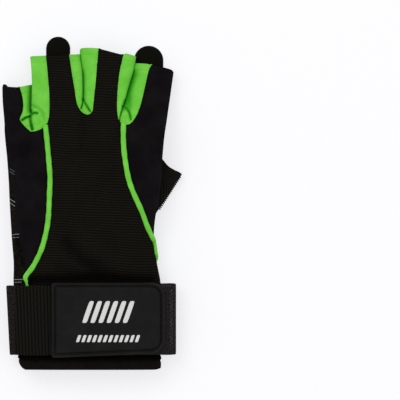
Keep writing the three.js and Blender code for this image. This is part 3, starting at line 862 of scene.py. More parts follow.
def stretch_finish():
    """Smooth matte stretch cloth: a very fine twill and broad soft changes of shade. At the little-finger
    side a browner strip, where the palm's cloth comes round, widens towards the strap. Painted shade darkens
    it in creases and along seams."""
    f = Finish("stretch cloth", 0.7, sheen=0.012, specular=0.0)
    at, u, v = f.threads()
    twill = (u + v).wave(0.55) * 0.5 + (u - v).wave(0.55) * 0.3
    broad = f.noise(at, 0.06, 3.0)
    smooth = f.mix(broad.ramp(0.3, 0.75) * 0.6 + twill * 0.35, linear(15, 13, 15), linear(29, 26, 28))
    x, y, _ = f.axes(f.place())
    fine = f.noise(at, 0.55, 4.0)
    strip_edge = (y * -1).ramp(17, 34) * 5.4 - 47.4 + (fine - 0.5) * 1.6
    strip = (strip_edge - x).ramp(-0.5, 0.5) * (y * -1).ramp(-18, -4)
    plain = f.mix(strip, smooth, f.mix(fine.ramp(0.3, 0.7), linear(14, 12, 10), linear(32, 29, 25)))
    # Painted shade: the colour darkens towards near-black where creases and seams dip
    f.colour(f.mix(f.painted_crease_shade() * 0.8, plain, linear(6, 5, 5)))
    f.rough(0.62 + broad * 0.2)
    f.bump(twill + f.noise(at, 1.6) * 0.5, 0.09, 0.6)
    return f.material


def lime_finish():
    """Bright green stretch jersey with fine wales along the fingers, and painted shade, a deeper green, in
    its creases and beside the folds.
    """
    f = Finish("lime jersey", 0.62, sheen=0.01, specular=0.05)
    at, u, v = f.threads()
    wale = (u + f.noise(at, 0.3) * 0.4).wave(0.62)
    broad = f.noise(at, 0.12, 3.0)
    shade = broad.ramp(0.25, 0.8) * 0.65 + wale * 0.35
    plain = f.mix(shade, linear(101, 198, 57), linear(131, 223, 84))
    # Painted shade: a deeper green in creases and beside the folds
    f.colour(f.mix(f.painted_crease_shade().ramp(0, 1.0) * 0.85, plain, linear(38, 158, 20)))
    f.rough(0.7 - wale * 0.1)
    f.bump(wale + v.wave(0.7) * 0.4, 0.07, 0.5)
    return f.material


def suede_finish():
    """Short-napped suede: soft mottled shade, a fine grain and small dents."""
    f = Finish("palm suede", 0.85, sheen=0.03, specular=0.0)
    at = f.place()
    grain, broad = f.noise(at, 2.4, 4.0), f.noise(at, 0.12, 3.0)
    f.colour(f.mix(grain * 0.5 + broad * 0.5, linear(11, 10, 8), linear(26, 25, 21)))
    f.rough(0.78 + grain * 0.18)
    f.bump(grain, 0.16, 0.7)
    return f.material


def elastic_finish():
    """Woven elastic: rows of small stitches on its ribs, and a warmer, hairier edge where it folds over at
    the left."""
    f = Finish("ribbed elastic", 0.8, sheen=0.015, specular=0.0)
    at, u, v = f.threads()
    rib = u.wave(RIB_PITCH)
    stitch = (v + u * 0.357).wave(1.5)
    dust = f.noise(at, 1.1, 3.0)
    shade = (rib * 0.36 + stitch * (0.22 + rib * 0.42)) * (0.42 + dust * 0.95)
    x, _, _ = f.axes(f.place())
    turned = (x * -1).ramp(46.9, 48.0)
    hairy = f.mix(dust.ramp(0.35, 0.7) * (0.5 + stitch * 0.6), linear(17, 15, 15), linear(52, 45, 46))
    f.colour(f.mix(turned, f.mix(shade, linear(10, 10, 8), linear(38, 36, 32)), hairy))
    f.rough(0.86 - rib * 0.1)
    f.bump(stitch * rib + dust * 0.4, 0.18, 0.8)
    return f.material


def loop_finish():
    """Fuzzy loop pile: a coarse grain of small loops with flecks of light."""
    f = Finish("loop pile", 0.95, sheen=0.03, specular=0.0)
    at = f.cloth()
    pile, tuft = f.noise(at, 1.5, 4.0), f.noise(at, 0.5, 2.0)
    f.colour(f.mix(pile.ramp(0.4, 0.68) * 0.7 + tuft * 0.3, linear(8, 7, 8), linear(57, 54, 56)))
    f.rough(0.9 + pile * 0.1)
    f.bump(pile, 0.45, 1.0)
    return f.material


def hem_finish():
    """The cuff's folded hem: a plain weave with short dark gaps between its threads, and painted shadow of
    the strap on its upper rows.
    """
    f = Finish("hem weave", 0.85, sheen=0.012, specular=0.0)
    at, u, v = f.threads()
    weave = u.wave(1.5) * (v + u * 0.3).wave(1.6)
    broad = f.noise(at, 0.12, 3.0)
    # Painted shadow of the strap: the rows from about 4.6 mm up are darker
    painted_strap_shadow = 1 - v.ramp(4.6, 6.6) * 0.9
    f.colour(f.mix((weave * 0.45 + broad * 0.6) * painted_strap_shadow, linear(5, 5, 4), linear(33, 31, 29)))
    f.bump(weave + f.noise(at, 1.4) * 0.4, 0.16, 0.7)
    return f.material


def rubber_finish():
    """Smooth matte moulded rubber with a fine grain and faint rubbed spots."""
    f = Finish("patch rubber", 0.5, specular=0.1)
    at = f.place()
    grain, rub = f.noise(at, 3.0, 3.0), f.noise(at, 0.11, 4.0)
    f.colour(f.mix(rub.ramp(0.35, 0.8), linear(20, 18, 19), linear(27, 25, 26)))
    f.rough(0.46 + rub * 0.16)
    f.bump(grain, 0.04, 0.5)
    return f.material


def plain_finish(name, low, high, roughness):
    """Moulded print or sewing thread: two close shades in a soft grain."""
    f = Finish(name, roughness, specular=0.05)
    at = f.place()
    grain = f.noise(at, 1.4, 3.0)
    f.colour(f.mix(grain, linear(*low), linear(*high)))
    f.bump(grain, 0.05, 0.5)
    return f.material


finishes = {
    "knit": knit_finish(),
    "thumb": thumb_finish(),
    "stretch": stretch_finish(),
    "lime": lime_finish(),
    "suede": suede_finish(),
    "elastic": elastic_finish(),
    "loop": loop_finish(),
    "rubber": rubber_finish(),
    "hem": hem_finish(),
    "print": plain_finish("white moulded bars", (214, 214, 212), (238, 238, 236), 0.5),
    "thread": plain_finish("black thread", (5, 5, 4), (12, 11, 10), 0.7),
    "pale thread": plain_finish("grey thread", (52, 49, 51), (98, 94, 96), 0.8),
    "mark": plain_finish("grey palm print", (120, 120, 122), (170, 170, 172), 0.6),
}


def linked(name, data):
    """A new object in the scene, of a mesh, a camera or a light, or of nothing."""
    thing = bpy.data.objects.new(name, data)
    bpy.context.scene.collection.objects.link(thing)
    return thing


def make(name, points, faces, finish, replaces=(), cloth=None, solid=0, painted_crease_shade=None):
    """A piece of the glove. Its points, in millimetres from the cuff's middle, become metres in the frame;
    cloth gives its UV map in millimetres, solid the wall that is added inwards, and painted_crease_shade how
    much painted shade each point's colour gets in creases and beside folds."""
    mesh = bpy.data.meshes.new(name)
    place = (np.asarray(points, float) + PLACE) * MM
    mesh.from_pydata(place, [], faces.tolist() if isinstance(faces, np.ndarray) else faces)
    mesh.polygons.foreach_set("use_smooth", np.full(len(mesh.polygons), True))
    if cloth is not None:
        corners = np.empty(len(mesh.loops), np.int32)
        mesh.loops.foreach_get("vertex_index", corners)
        layer = mesh.uv_layers.new(name="cloth")
        layer.data.foreach_set("uv", (np.asarray(cloth, float)[corners] * MM).astype(np.float32).ravel())
    # The painted shade of creases and folds, kept on each point for the finishes
    if painted_crease_shade is not None:
        mesh.attributes.new("painted_crease_shade", "FLOAT", "POINT").data.foreach_set("value", painted_crease_shade.astype(np.float32))
    mesh.materials.append(finishes[finish])
    mesh.update()
    piece = linked(name, mesh)
    if solid:
        wall = piece.modifiers.new("wall", "SOLIDIFY")
        wall.thickness, wall.offset, wall.use_even_offset = solid * MM, -1, False
        wall.use_rim = True
    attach(piece, "root")
    if replaces:
        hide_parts(*replaces)


# The camera, straight above the middle of the photograph, and the light
camera_data = bpy.data.cameras.new("camera")
camera = linked("camera", camera_data)
FRAME_WIDTH, CAMERA_HEIGHT, FOCUS_HEIGHT, SENSOR_WIDTH = 0.248, 3.0, 0.01, 36
camera_data.sensor_width = SENSOR_WIDTH
camera_data.lens = SENSOR_WIDTH * CAMERA_HEIGHT / FRAME_WIDTH
centre = (seen(PHOTO_MIDDLE)[0] + PLACE[:2]) * MM
camera.location = (centre[0], centre[1], CAMERA_HEIGHT + FOCUS_HEIGHT)
camera_data.clip_start, camera_data.clip_end = 0.05, 20
bpy.context.scene.camera = camera
bpy.context.scene.view_settings.view_transform = "Standard"

world = bpy.data.worlds.new("studio")
world.use_nodes = True
world.node_tree.nodes["Background"].inputs["Color"].default_value = (1, 1, 1, 1)
world.node_tree.nodes["Background"].inputs["Strength"].default_value = 0.62
bpy.context.scene.world = world
for name, where, size, power in (
    ("key", (-0.7, 0.9, 1.6), 1.1, 10.0),
    ("fill", (1.2, -0.4, 1.6), 1.5, 4.5),
):
    lamp_data = bpy.data.lights.new(name, "AREA")
    lamp_data.shape, lamp_data.size, lamp_data.energy = "SQUARE", size, power
    lamp = linked(name, lamp_data)
    lamp.location = where
    aim = lamp.constraints.new("TRACK_TO")
    aim.target, aim.track_axis, aim.up_axis = linked(name + "_aim", None), "TRACK_NEGATIVE_Z", "UP_Y"

table_mesh = bpy.data.meshes.new("table")
table_mesh.from_pydata([(-6, -6, 0), (6, -6, 0), (6, 6, 0), (-6, 6, 0)], [], [(0, 1, 2, 3)])
table = linked("table", table_mesh)
pale = Finish("pale table", 0.9, specular=0.1)
pale.shader.inputs["Base Color"].default_value = (0.36, 0.36, 0.37, 1)
pale.shader.inputs["Emission Color"].default_value = (0.98, 0.98, 1, 1)
pale.shader.inputs["Emission Strength"].default_value = 0.68
table_mesh.materials.append(pale.material)
table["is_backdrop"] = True

# The panels of the roof: each is where all of its values are positive
outside = [-any_gusset, near_piping - tuck]
for name, node, cloth, values in (
    ("outer_side_cloth", "outer_side_panel", "stretch", [in_outer, *outside]),
    ("thumb_side_cloth", "thumb_side_panel", "stretch", [in_thumb, *outside]),
    ("back_cloth", "back_panel", "knit", [-in_outer, -in_thumb, *outside]),
    ("pinky_ring_gusset_cloth", "gusset_pinky_ring", "lime", [in_gusset["pinky_ring"]]),
    ("ring_middle_gusset_cloth", "gusset_ring_middle", "lime", [in_gusset["ring_middle"]]),
    ("middle_index_gusset_cloth", "gusset_middle_index", "lime", [in_gusset["middle_index"]]),
):
    points, faces = panel(np.minimum.reduce(values), cloth)
    make(name, points[:, :3], faces, cloth, (node,), points[:, 3:5], CLOTH, points[:, 5])

# The palm, with the hole into the thumb sleeve: an oval a little past the sleeve's root
HOLE_HALF_WIDTH, HOLE_HALF_LENGTH, HOLE_UP = 14, 6, 7
thumb_mouth = np.array(spot(0.424, 0.847))
thumb_way = np.array([np.sin(THUMB_ANGLE), np.cos(THUMB_ANGLE)])
thumb_side = np.array([np.cos(THUMB_ANGLE), -np.sin(THUMB_ANGLE)])
points, faces = floor_skin
hole = points[:, :2] - (thumb_mouth - thumb_way * (THUMB_LENGTH - HOLE_UP))
hole = np.hypot(hole @ thumb_side / HOLE_HALF_WIDTH, hole @ thumb_way / HOLE_HALF_LENGTH) - 1
kept = np.minimum(hole * HOLE_HALF_LENGTH, points[:, 1] - STRAP_FOOT)
points, faces = cut(np.column_stack([points[:, :3], points[:, :2]]), faces, kept)
points[:, 2] = np.maximum(points[:, 2], CLOTH_GROUND)
make("palm_cloth", points[:, :3], faces, "suede", ("palm_panel",), points[:, 3:], CLOTH)


def tube(*places):
    """A closed-round skin of four-sided faces through rings of points, one behind the other: the first point
    of each ring meets its last one. Each place is one of the points' numbers, for all rings and points."""
    rows = np.stack(np.broadcast_arrays(*places), -1)
    count, around = rows.shape[:2]
    n = np.arange(count * around).reshape(count, around)
    a, b = n[:-1], n[1:]
    c, d = np.roll(b, -1, 1), np.roll(a, -1, 1)
    faces = np.stack([a.ravel(), b.ravel(), c.ravel(), d.ravel()], -1)
    return rows.reshape(-1, rows.shape[-1]), faces


def closed_tube(rings):
    """The same in triangles, through rings whose first and last close on a point or a line."""
    points, faces = tube(*np.moveaxis(np.array(rings), -1, 0))
    return points, np.vstack([faces[:, [0, 2, 1]], faces[:, [0, 3, 2]]])


def oval_turn(turn, power):
    """Across and up shares round an oval with bulging sides and a flat foot."""
    across, up = (signed_power(v, 2 / power) for v in (np.cos(turn), np.sin(turn)))
    return across, np.where(up < 0, np.maximum(-1, up * FLAT_FOOT), up)


# The thumb sleeve: its root lies against the palm's underside, its open end has a hem. The rim's table says
# how far past the sleeve's length it reaches at a place across, the other one the width and height at a step
# along
THUMB_RIM = np.array(
    [[-1, 1.6], [0.1, 1.5], [0.225, 0.85], [0.34, 0.1], [0.457, -0.5], [0.72, -0.42], [0.95, 0], [1, -0.2]]
)
THUMB_TABLE = np.array([[0, 0.94, 0.42], [0.12, 0.96, 0.62], [0.35, 0.98, 0.95], [0.6, 1, 1], [1, 1, 1]])
turn = np.linspace(0, 2 * np.pi, 96, endpoint=False)[None, :]
step = np.linspace(0, 1, 60)[:, None]
across, up = oval_turn(turn, OVAL_POWER)
along = (step - 1) * THUMB_LENGTH + eased(THUMB_RIM, 1, across) * ramp(step, 0.55, 1)
side = (eased(THUMB_TABLE, 1, step) * THUMB_WIDTH / 2) * across
half = eased(THUMB_TABLE, 2, step) * THUMB_HEIGHT / 2
x = thumb_mouth[0] + thumb_side[0] * side + thumb_way[0] * along
y = thumb_mouth[1] + thumb_side[1] * side + thumb_way[1] * along
swell = 0.2 * ramp(step * THUMB_LENGTH, THUMB_LENGTH - 4.6, THUMB_LENGTH - 3.8)
swell = swell - 0.3 * dent(step * THUMB_LENGTH - (THUMB_LENGTH - 4.4), 0.5)
wrinkle = 0.35 * np.sin(step * 17 + across * 2.2) * np.sin(across * 3 + 1) * ramp(up, -0.2, 0.6)
z = half + (half + swell + wrinkle) * up
under_palm = over(x, y, -1) - SEAM_GAP
inside_hand = (x > left_edge(y)) & (x < right_edge(y))
z = np.where(inside_hand & (up > 0), np.minimum(z, np.maximum(under_palm, 1.4)), z)
points, faces = tube(x, y, np.maximum(z, CLOTH_GROUND), side * thumb_side[0], along)
make("thumb_cloth", points[:, :3], faces, "thumb", ("thumb_sleeve",), points[:, 3:], CLOTH)


# Where the thumb-side piping rolls over the hand's edge: y, and how high on the side wall it lies, as a share
# of the half height
ROLL = np.array(
    [[52, -0.46], [63, -0.46], [66, -0.4], [69, -0.22], [72, 0.06], [76, 0.32], [81, 0.6], [84, 1.0]]
)


def piping(name, low, gusset):
    """Piping as a fat bead along a seam: its middle runs on the roof, its section is an oval as wide as the
    piping, fatter where it rolls over the hand's edge, and its upper end sinks into the cloth."""
    line = seam(name)
    line = line[(line[:, 1] > low) & (inside(line[:, 0], line[:, 1], gusset) < 1.3)]
    length = lengths_along(line)
    at = np.arange(0, length[-1], 0.7)
    x, y = (np.interp(at, length, line[:, k]) for k in range(2))
    way = np.stack([np.gradient(x, at), np.gradient(y, at)], -1)
    way /= np.linalg.norm(way, axis=1, keepdims=True)
    aside = np.stack([way[:, 1], -way[:, 0]], -1)
    wide_half = (right_edge(y) - left_edge(y)) / 2
    across = (x - left_edge(y)) / wide_half - 1
    up = np.where(across > 0, np.minimum(oval(across), np.interp(y, ROLL[:, 0], ROLL[:, 1])), 1)
    rolled = np.where(across > 0, ramp(-y, -86, -80), 0)
    edge_x = right_edge(y) - (1 - oval(up)) * wide_half
    half = half_height(y / HAND_LENGTH)
    z = lerp(over(x, y), underside(x, y) + half * (1 + up), rolled)
    x = lerp(x, edge_x, rolled)
    right, left = ((x + side * aside[:, 0], y + side * aside[:, 1]) for side in (0.8, -0.8))
    flat_slant = np.arctan(np.clip((over(*right) - over(*left)) / 1.6, -3, 3))
    wall = np.arctan2(half * oval(up) ** 1.5, wide_half * signed_power(up, 1.5))
    slant = -lerp(np.abs(flat_slant), wall, rolled) * np.sign(aside[:, 0])
    slant = np.where(rolled > 0, slant, flat_slant)[:, None]
    turn = np.linspace(0, 2 * np.pi, 20, endpoint=False)
    wide = signed_power(np.cos(turn), 0.85)[None] * PIPING_WIDTH / 2
    tall = (1 + 0.6 * rolled)[:, None] * np.sin(turn) * np.where(np.sin(turn) > 0, PIPING_HEIGHT, 0.9)
    reach = wide * np.cos(slant) - tall * np.sin(slant)
    rise = wide * np.sin(slant) + tall * np.cos(slant)
    ripple = 1 + 0.04 * np.sin(at * 0.9) + 0.03 * np.sin(at * 0.37 + 1) - 0.42 * ramp(-y, -58, -53)
    out = reach * ripple[:, None]
    sink = 0.25 + 1.1 * dent(at - at[-1], 1.1)
    places = x[:, None] + aside[:, :1] * out, y[:, None] + aside[:, 1:] * out, (z - sink)[:, None] + rise
    points, faces = tube(*places, wide, at[:, None])
    around = len(turn)
    ends = [list(range(around))[::-1], list(range(len(points) - around, len(points)))]
    return points, faces.tolist() + ends


for name, node, low, gusset in (
    ("outer_piping", "piping_outer", STRAP_FOOT + 16, "pinky_ring"),
    ("inner_piping", "piping_inner", 52.0, "middle_index"),
):
    points, faces = piping(name, low, gusset_lines[gusset])
    make(name + "_bead", points[:, :3], faces, "lime", (node,), points[:, 3:])


# A pull tab's upper side: inset from its outline to its spine, height as a share of its thickness
TAB_EDGE = [
    (0, 0.5), (0.02, 0.78), (0.07, 0.95), (0.14, 1), (0.3, 0.97), (0.55, 0.93), (0.8, 0.92), (1, 0.92),
]

# The lower left and the upper right corner of each tab's box as it is seen
RING_TAB_BOX = seen((45.6, 56), (69.8, 36.2))
INDEX_TAB_BOX = seen((133.8, 64), (163.2, 45.3))


def tab(name, k, low, high, node):
    """A pull tab: a tongue under finger k with a round end and a soft edge, as rings drawn in from its
    outline."""
    foot = FINGER_ENDS[k].mean() - TAB_ROOT
    middle, half = (low[0] + high[0]) / 2, (high[0] - low[0]) / 2
    arc = np.linspace(0, np.pi, 40)
    round_end = np.stack([middle + half * np.cos(arc), high[1] - half + half * np.sin(arc)], -1)
    up_right = straight((middle + half, foot), round_end[0], 16)[:-1]
    down_left = straight(round_end[-1], (middle - half, foot), 16)[1:]
    outline = np.vstack([up_right, round_end, down_left])
    spine = np.stack([np.full(len(outline), middle), np.clip(outline[:, 1], None, high[1] - half)], -1)
    under = [(1, CLOTH_GROUND), (0.05, CLOTH_GROUND)]
    profile = under + [(inset, rise * TAB_THICKNESS) for inset, rise in TAB_EDGE]
    rings = [np.column_stack([lerp(outline, spine, i), np.full(len(outline), z)]) for i, z in profile]
    points, faces = together([closed_tube(rings)])
    make(name, points, faces, "suede", (node,), points[:, :2])


tab("ring_tab", RING, *RING_TAB_BOX, "pull_tab_ring")
tab("index_tab", INDEX, *INDEX_TAB_BOX, "pull_tab_index")

# The crease at the left end of the cuff
CUFF_CREASE = seen((32, 357), (37, 362), (48, 366.5))

# The cuff's turned hem: a rounded edge at the opening, a sewn line, and a soft ridge that goes under the
# strap. Its rows: y, and how far it swells
CUFF_ROWS = np.array([
    [0.35, -1], [0.1, -0.6], [0, -0.1], [0.25, 0.3], [0.8, 0.45], [1.5, 0.5], [2.4, 0.48], [3.4, 0.4],
    [4.3, 0.2], [4.9, -0.3], [5.3, -0.45], [5.7, -0.2], [6.4, 0.4], [7.2, 0.45], [8, 0.1], [8.8, -0.3],
    [9.8, -0.5], [11.5, -0.6],
])


def cuff_top(x, y):
    """The height of the hem's upper side."""
    half = half_height(y / HAND_LENGTH)
    lift = np.interp(y, CUFF_ROWS[2:, 0], CUFF_ROWS[2:, 1])
    return STRAP_FLOOR + half + (half + lift) * oval(hand_across(x, y))


turn = np.linspace(0, 2 * np.pi, 240, endpoint=False)[None, :]
row_y, lift = CUFF_ROWS[:, :1], CUFF_ROWS[:, 1:]
across, up = oval_turn(turn, OVAL_POWER)
x0, x1 = left_edge(row_y), right_edge(row_y)
half = half_height(row_y / HAND_LENGTH)
ruck = 0.14 * np.sin(across * 31) * np.sin(across * 13 + 1) * ramp(up, 0, 0.6)
x = (x0 + x1) / 2 + ((x1 - x0) / 2 + lift * 0.6) * across
ruck = ruck - 0.7 * dent(from_line(x, row_y + 0 * x, CUFF_CREASE), 0.9) * (up > 0)
z = STRAP_FLOOR + half + (half + lift + ruck) * up
rounding = np.where(across < 0, 3.4, 0.9) * np.clip((np.abs(across) - 0.91) / 0.09, 0, 1) ** 2.0
rounding = rounding * np.clip(1 - row_y / BINDING_LENGTH, 0, 1)
points, faces = tube(x, row_y + rounding, z, x, row_y)
make("cuff_hem", points[:, :3], faces, "hem", ("cuff_binding",), points[:, 3:], CLOTH)


def strap_half(y, left):
    """The half height and the half width inside the strap's loop round the cuff: an oval with near-straight
    sides, its left end drawn in towards the cuff."""
    share = (y - STRAP_FOOT) / STRAP_WIDTH
    height = np.interp(y / HAND_LENGTH, SECTIONS[:, 0], SECTIONS[:, 1]) * HAND_HEIGHT
    width = STRAP_SPAN / 2 - STRAP_THICKNESS - np.where(left, (1 - share) * STRAP_TAPER, 0)
    return (height + SEAM_GAP + STRAP_ROOM + SEAM_GAP) / 2, width


def strap_point(turn, y, reach):
    """A place on the strap's loop, grown outwards by reach."""
    across, up = oval_turn(turn, STRAP_POWER)
    half, inner = strap_half(y, across < 0)
    return STRAP_MIDDLE + (inner + reach) * across, STRAP_THICKNESS + half + (half + reach) * up


def strap_top(x, y, reach):
    """The height of the strap's top at a place, grown outwards by reach."""
    half, inner = strap_half(y, x < STRAP_MIDDLE)
    across = (x - STRAP_MIDDLE) / (inner + reach)
    return STRAP_THICKNESS + half + (half + reach) * oval(across, STRAP_POWER)


# The y at which the strap's length is measured
STRAP_ROW = 30.0


def turns_between(start, end, pitch):
    """Turns round the strap from one to the other, spaced evenly along its length."""
    fine = np.linspace(start, end, 6000)
    length = lengths_along(np.stack(strap_point(fine, np.full(fine.shape, STRAP_ROW), STRAP_THICKNESS), -1))
    at = np.arange(0, length[-1] + pitch / 2, pitch)
    return np.interp(at, length, fine), at


def turn_at(x, top):
    """The turn where the strap's outer side is at x, on its top or under the cuff."""
    fine = np.linspace(0, np.pi, 4000) if top else np.linspace(np.pi, 2 * np.pi, 4000)
    px, _ = strap_point(fine, np.full(fine.shape, STRAP_ROW), STRAP_THICKNESS)
    return fine[np.argmin(np.abs(px - x))]


def band(name, start, end, pitch, low, high, rib, finish, node, wobble):
    """A stretch of the strap: rows along +Y, columns round the loop, ribs as bumps of the outer side along
    its length, and edges that wander a little."""
    turns, at = turns_between(start, end, pitch)
    near_edge = np.array([0, 0.006, 0.018, 0.035])
    v = np.concatenate([near_edge, np.linspace(0.06, 0.94, 22), 1 - near_edge[::-1]])[:, None]
    edge_round = np.minimum(1, np.minimum(v, 1 - v) / 0.02) ** 0.5
    wander = wobble * (np.sin(at * 0.21) + 0.5 * np.sin(at * 0.53 + 1))[None, :]
    y = lerp(low, high, v) + wander * np.where(v < 0.5, 1 - v, v)
    bump = rib * (0.5 + 0.5 * np.sin(at * 2 * np.pi / RIB_PITCH))[None, :] + 0 * v
    x, z = strap_point(turns[None, :] + 0 * v, y, STRAP_THICKNESS - 0.45 * (1 - edge_round) - rib + bump)
    places = np.broadcast_arrays(x, y, np.maximum(z, STRAP_GROUND), at[None, :], y)
    points = np.stack(places, -1).reshape(-1, 5)
    faces = grid_faces(*x.shape)[:, ::-1]
    make(name, points[:, :3], faces, finish, (node,), points[:, 3:], STRAP_THICKNESS - 0.2)


elastic_turns = turn_at(TOP_JOIN, True), turn_at(STRAP_JOIN, False)
loop_turns = turn_at(STRAP_JOIN + SEAM_GAP, False), 2 * np.pi + turn_at(TOP_JOIN + SEAM_GAP, True)
band("elastic_band", *elastic_turns, 0.3, 9.1, 52.1, 0.14, "elastic", "elastic_strap", 0.12)
band("loop_pile_band", *loop_turns, 0.6, 9.4, 53.3, 0.0, "loop", "loop_band", 0.1)


def patch_outline(inset):
    """The patch seen from above, inset from its edge: slightly rounded corners at its start, round ones at
    its end."""
    x0, x1 = PATCH_START + inset, PATCH_START + PATCH_LENGTH - inset
    y0, y1 = STRAP_FOOT + PATCH_SHIFT + inset, STRAP_FOOT + STRAP_WIDTH + PATCH_SHIFT - inset
    near, far = max(2.0 - inset * 0.5, 0.6), PATCH_CORNER - inset
    corner = np.linspace(0, np.pi / 2, 14)
    arcs = []
    for cx, cy, r, start in (
        (x1 - far, y1 - far, far, 0),
        (x0 + near, y1 - near, near, np.pi / 2),
        (x0 + near, y0 - PATCH_SLOPE + near, near, np.pi),
        (x1 - far, y0 + far, far, 1.5 * np.pi),
    ):
        arcs.append(np.stack([cx + r * np.cos(corner + start), cy + r * np.sin(corner + start)], -1))
    ring = np.vstack(arcs + [arcs[0][:1]])
    length = lengths_along(ring)
    at = np.linspace(0, length[-1], 420, endpoint=False)
    return np.stack([np.interp(at, length, ring[:, k]) for k in range(2)], -1)


# The patch from its lower edge in: inset, height over the strap. Rounded edge, flat rim, groove, sunk field.
# It closes on its middle line, which ends this far from the patch's two ends
SPINE_INSET = 24
PATCH_PROFILE = [
    (0.35, 0.12), (0.1, 0.25), (0.0, 0.6), (0.05, 1.1), (0.3, 1.6), (0.65, 2.0), (1.0, 2.15), (1.35, 2.15),
    (1.6, 2.0), (1.8, 1.6), (1.95, 1.15), (2.2, 0.95), (2.5, 0.98), (2.75, 1.3), (2.95, 1.6), (3.25, 1.74),
    (3.7, 1.77), (4.6, PATCH_FIELD), (6.0, PATCH_FIELD),
]


def over_strap(ring, height):
    """A ring of places at one height over the strap's top."""
    z = strap_top(ring[:, 0], ring[:, 1], STRAP_THICKNESS) + SEAM_GAP + height - PATCH_SINK
    return np.column_stack([ring, z])


def inwards(inset, height, shares):
    """Rings from the patch's outline at an inset in to its middle line, at one height over the strap."""
    edge = patch_outline(inset)
    ends = PATCH_START + SPINE_INSET, PATCH_START + PATCH_LENGTH - SPINE_INSET
    middle = np.full(len(edge), STRAP_FOOT + STRAP_WIDTH / 2)
    line = np.stack([np.round(np.clip(edge[:, 0], *ends)), middle], -1)
    return [over_strap(lerp(edge, line, share), height) for share in shares]


rings = inwards(*PATCH_PROFILE[0], (1.0, 0.75, 0.5, 0.25))
rings += [over_strap(patch_outline(inset), height) for inset, height in PATCH_PROFILE]
rings += inwards(*PATCH_PROFILE[-1], (0.15, 0.35, 0.55, 0.75, 0.9, 1.0))
points, faces = together([closed_tube(rings)])
make("strap_patch_rubber", points, faces, "rubber", ("strap_patch",))


def bars(name, middle, count, pitch, width, height, slant):
    """A row of slanted flat bars on the patch, each a low block with a domed top and soft sides: rings of a
    rounded rectangle drawn in and up, the first and last on its middle line."""
    corner = np.linspace(0, 2 * np.pi, 28, endpoint=False)
    ring_x, ring_y = signed_power(np.cos(corner), 0.35), signed_power(np.sin(corner), 0.35)
    parts = []
    for i in range(count):
        rings = []
        for inset, rise in ((1, -0.15), (0, -0.15), (0, 0.18), (0.08, 0.3), (0.25, 0.34), (1, 0.34)):
            half_width, half_length = width / 2 - inset, height / 2 - inset
            if inset == 1:
                half_width, half_length = 0.0, (height - width) / 2
            x = middle[0] + (i - (count - 1) / 2) * pitch + ring_x * half_width + ring_y * half_length * slant
            ring = np.stack([x, middle[1] + ring_y * half_length], -1)
            rings.append(over_strap(ring, PATCH_FIELD + rise))
        parts.append(closed_tube(rings))
    points, faces = together(parts)
    make(name, points, faces, "print")


WIDE_BARS, SMALL_BARS = seen((108.8, 311.5), (108.5, 338))
bars("wide_bars", WIDE_BARS, 6, 5.0, 3.1, 13.5, 0.35)
bars("small_bars", SMALL_BARS, 12, 3.3, 2.0, 4.4, 0.35)


def stitches(name, line, height, pitch, length, thick, finish):
    """Sewn stitches along a line on the cloth: each a small bead, thickest in its middle, that dips at both
    ends."""
    far = lengths_along(line)
    starts = np.arange(pitch / 2, far[-1] - pitch / 2, pitch)
    t = np.array([-0.5, -0.4, -0.15, 0.15, 0.4, 0.5])
    fat = np.array([0.35, 0.8, 1, 1, 0.8, 0.35]) * thick / 2
    turn = np.linspace(0, 2 * np.pi, 6, endpoint=False)
    at = starts[:, None] + t * length
    x, y = (np.interp(at, far, line[:, k]) for k in range(2))
    wx, wy = (np.interp(at + 0.2, far, line[:, k]) for k in range(2))
    way = np.stack([wx - x, wy - y], -1)
    way /= np.maximum(np.linalg.norm(way, axis=-1, keepdims=True), 1e-6)
    z = height(x, y) + thick * 0.12 - t**2 * thick
    ring_x = x[..., None] + way[..., 1:] * np.cos(turn) * fat[None, :, None]
    ring_y = y[..., None] - way[..., :1] * np.cos(turn) * fat[None, :, None]
    ring_z = z[..., None] + np.sin(turn) * fat[None, :, None] * 0.8
    points = np.stack([ring_x, ring_y, ring_z], -1)
    count, rings, around = points.shape[:3]
    n = np.arange(count * rings * around).reshape(count, rings, around)
    a, b = n[:, :-1], n[:, 1:]
    c, d = np.roll(b, -1, 2), np.roll(a, -1, 2)
    sides = np.stack([a.ravel(), b.ravel(), c.ravel(), d.ravel()], -1).tolist()
    caps = n[:, 0][:, ::-1].tolist() + n[:, -1].tolist()
    make(name, points.reshape(-1, 3), sides + caps, finish)


def zigzag(left, right, low, high, step):
    """A zigzag up the picture between two places across, all in pixels."""
    return seen(*[(left if i % 2 else right, at) for i, at in enumerate(np.arange(low, high, step))])


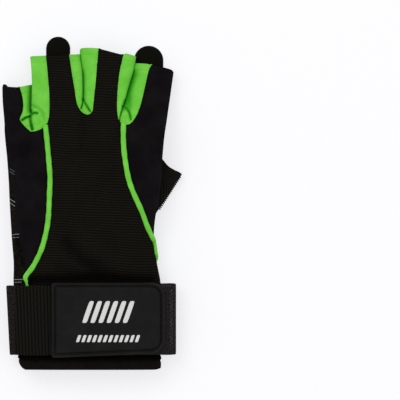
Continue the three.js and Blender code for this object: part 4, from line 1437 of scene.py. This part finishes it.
def band_top(x, y):
    """The height on which the strap's stitches lie."""
    return strap_top(x, y, STRAP_THICKNESS) - 0.1


def thumb_edge(x, y):
    """The height on which the stitches along the thumb's rim lie."""
    return 0 * x + THUMB_HEIGHT / 2


# Sewn lines as they are seen
CUFF_LINE = straight(*seen((30, 361), (158.5, 360.6)), 60)
FOLD_LINE = zigzag(169.6, 173.2, 289.5, 350.5, 1.9)
BAND_LINE = straight(*seen((161.5, 285.6), (173.5, 285.6)))
THUMB_LINE = straight(*seen((180.6, 176.4), (158.4, 211.4)))
stitches("cuff_stitches", CUFF_LINE, cuff_top, 1.42, 0.95, 0.5, "thread")
stitches("fold_stitches", FOLD_LINE, band_top, 2.26, 2.0, 0.42, "pale thread")
stitches("band_edge_stitches", BAND_LINE, band_top, 1.3, 0.8, 0.42, "pale thread")
stitches("thumb_stitches", THUMB_LINE, thumb_edge, 1.3, 1.0, 0.9, "thread")

# Marks of the palm's print that come round the little-finger side: the upper pair is faint
THIN_MARKS = [seen((9.8, 168.8), (15, 172)), seen((10, 171.6), (14.6, 174.6))]
WIDE_MARKS = [
    seen((9.8, 198.8), (15.4, 202.4)), seen((10, 202.8), (15.2, 206.2)), seen((12.4, 234.8), (19.4, 234)),
    seen((13, 237.6), (19, 237.2)), seen((14.2, 279.6), (23, 279.2)), seen((14.4, 282.4), (22, 282)),
]
marks = []
for mark, half_width in [(mark, 0.05) for mark in THIN_MARKS] + [(mark, 0.17) for mark in WIDE_MARKS]:
    line = straight(*mark, 14)
    way = (line[-1] - line[0]) / np.linalg.norm(line[-1] - line[0])
    aside = np.array([-way[1], way[0]]) * half_width
    sides = np.stack([line + aside, line - aside], 1)
    place = sides[..., 0], sides[..., 1]
    z = sunk(over(*place), seam_under(*place, PINKY), relief(*place, SIDE_CREASES)) + 0.06
    points = np.concatenate([sides, z[..., None]], -1)
    marks.append((points.reshape(-1, 3), grid_faces(*points.shape[:2])))
points, faces = together(marks)
make("palm_marks", points, faces, "mark", solid=0.05)

low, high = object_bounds()
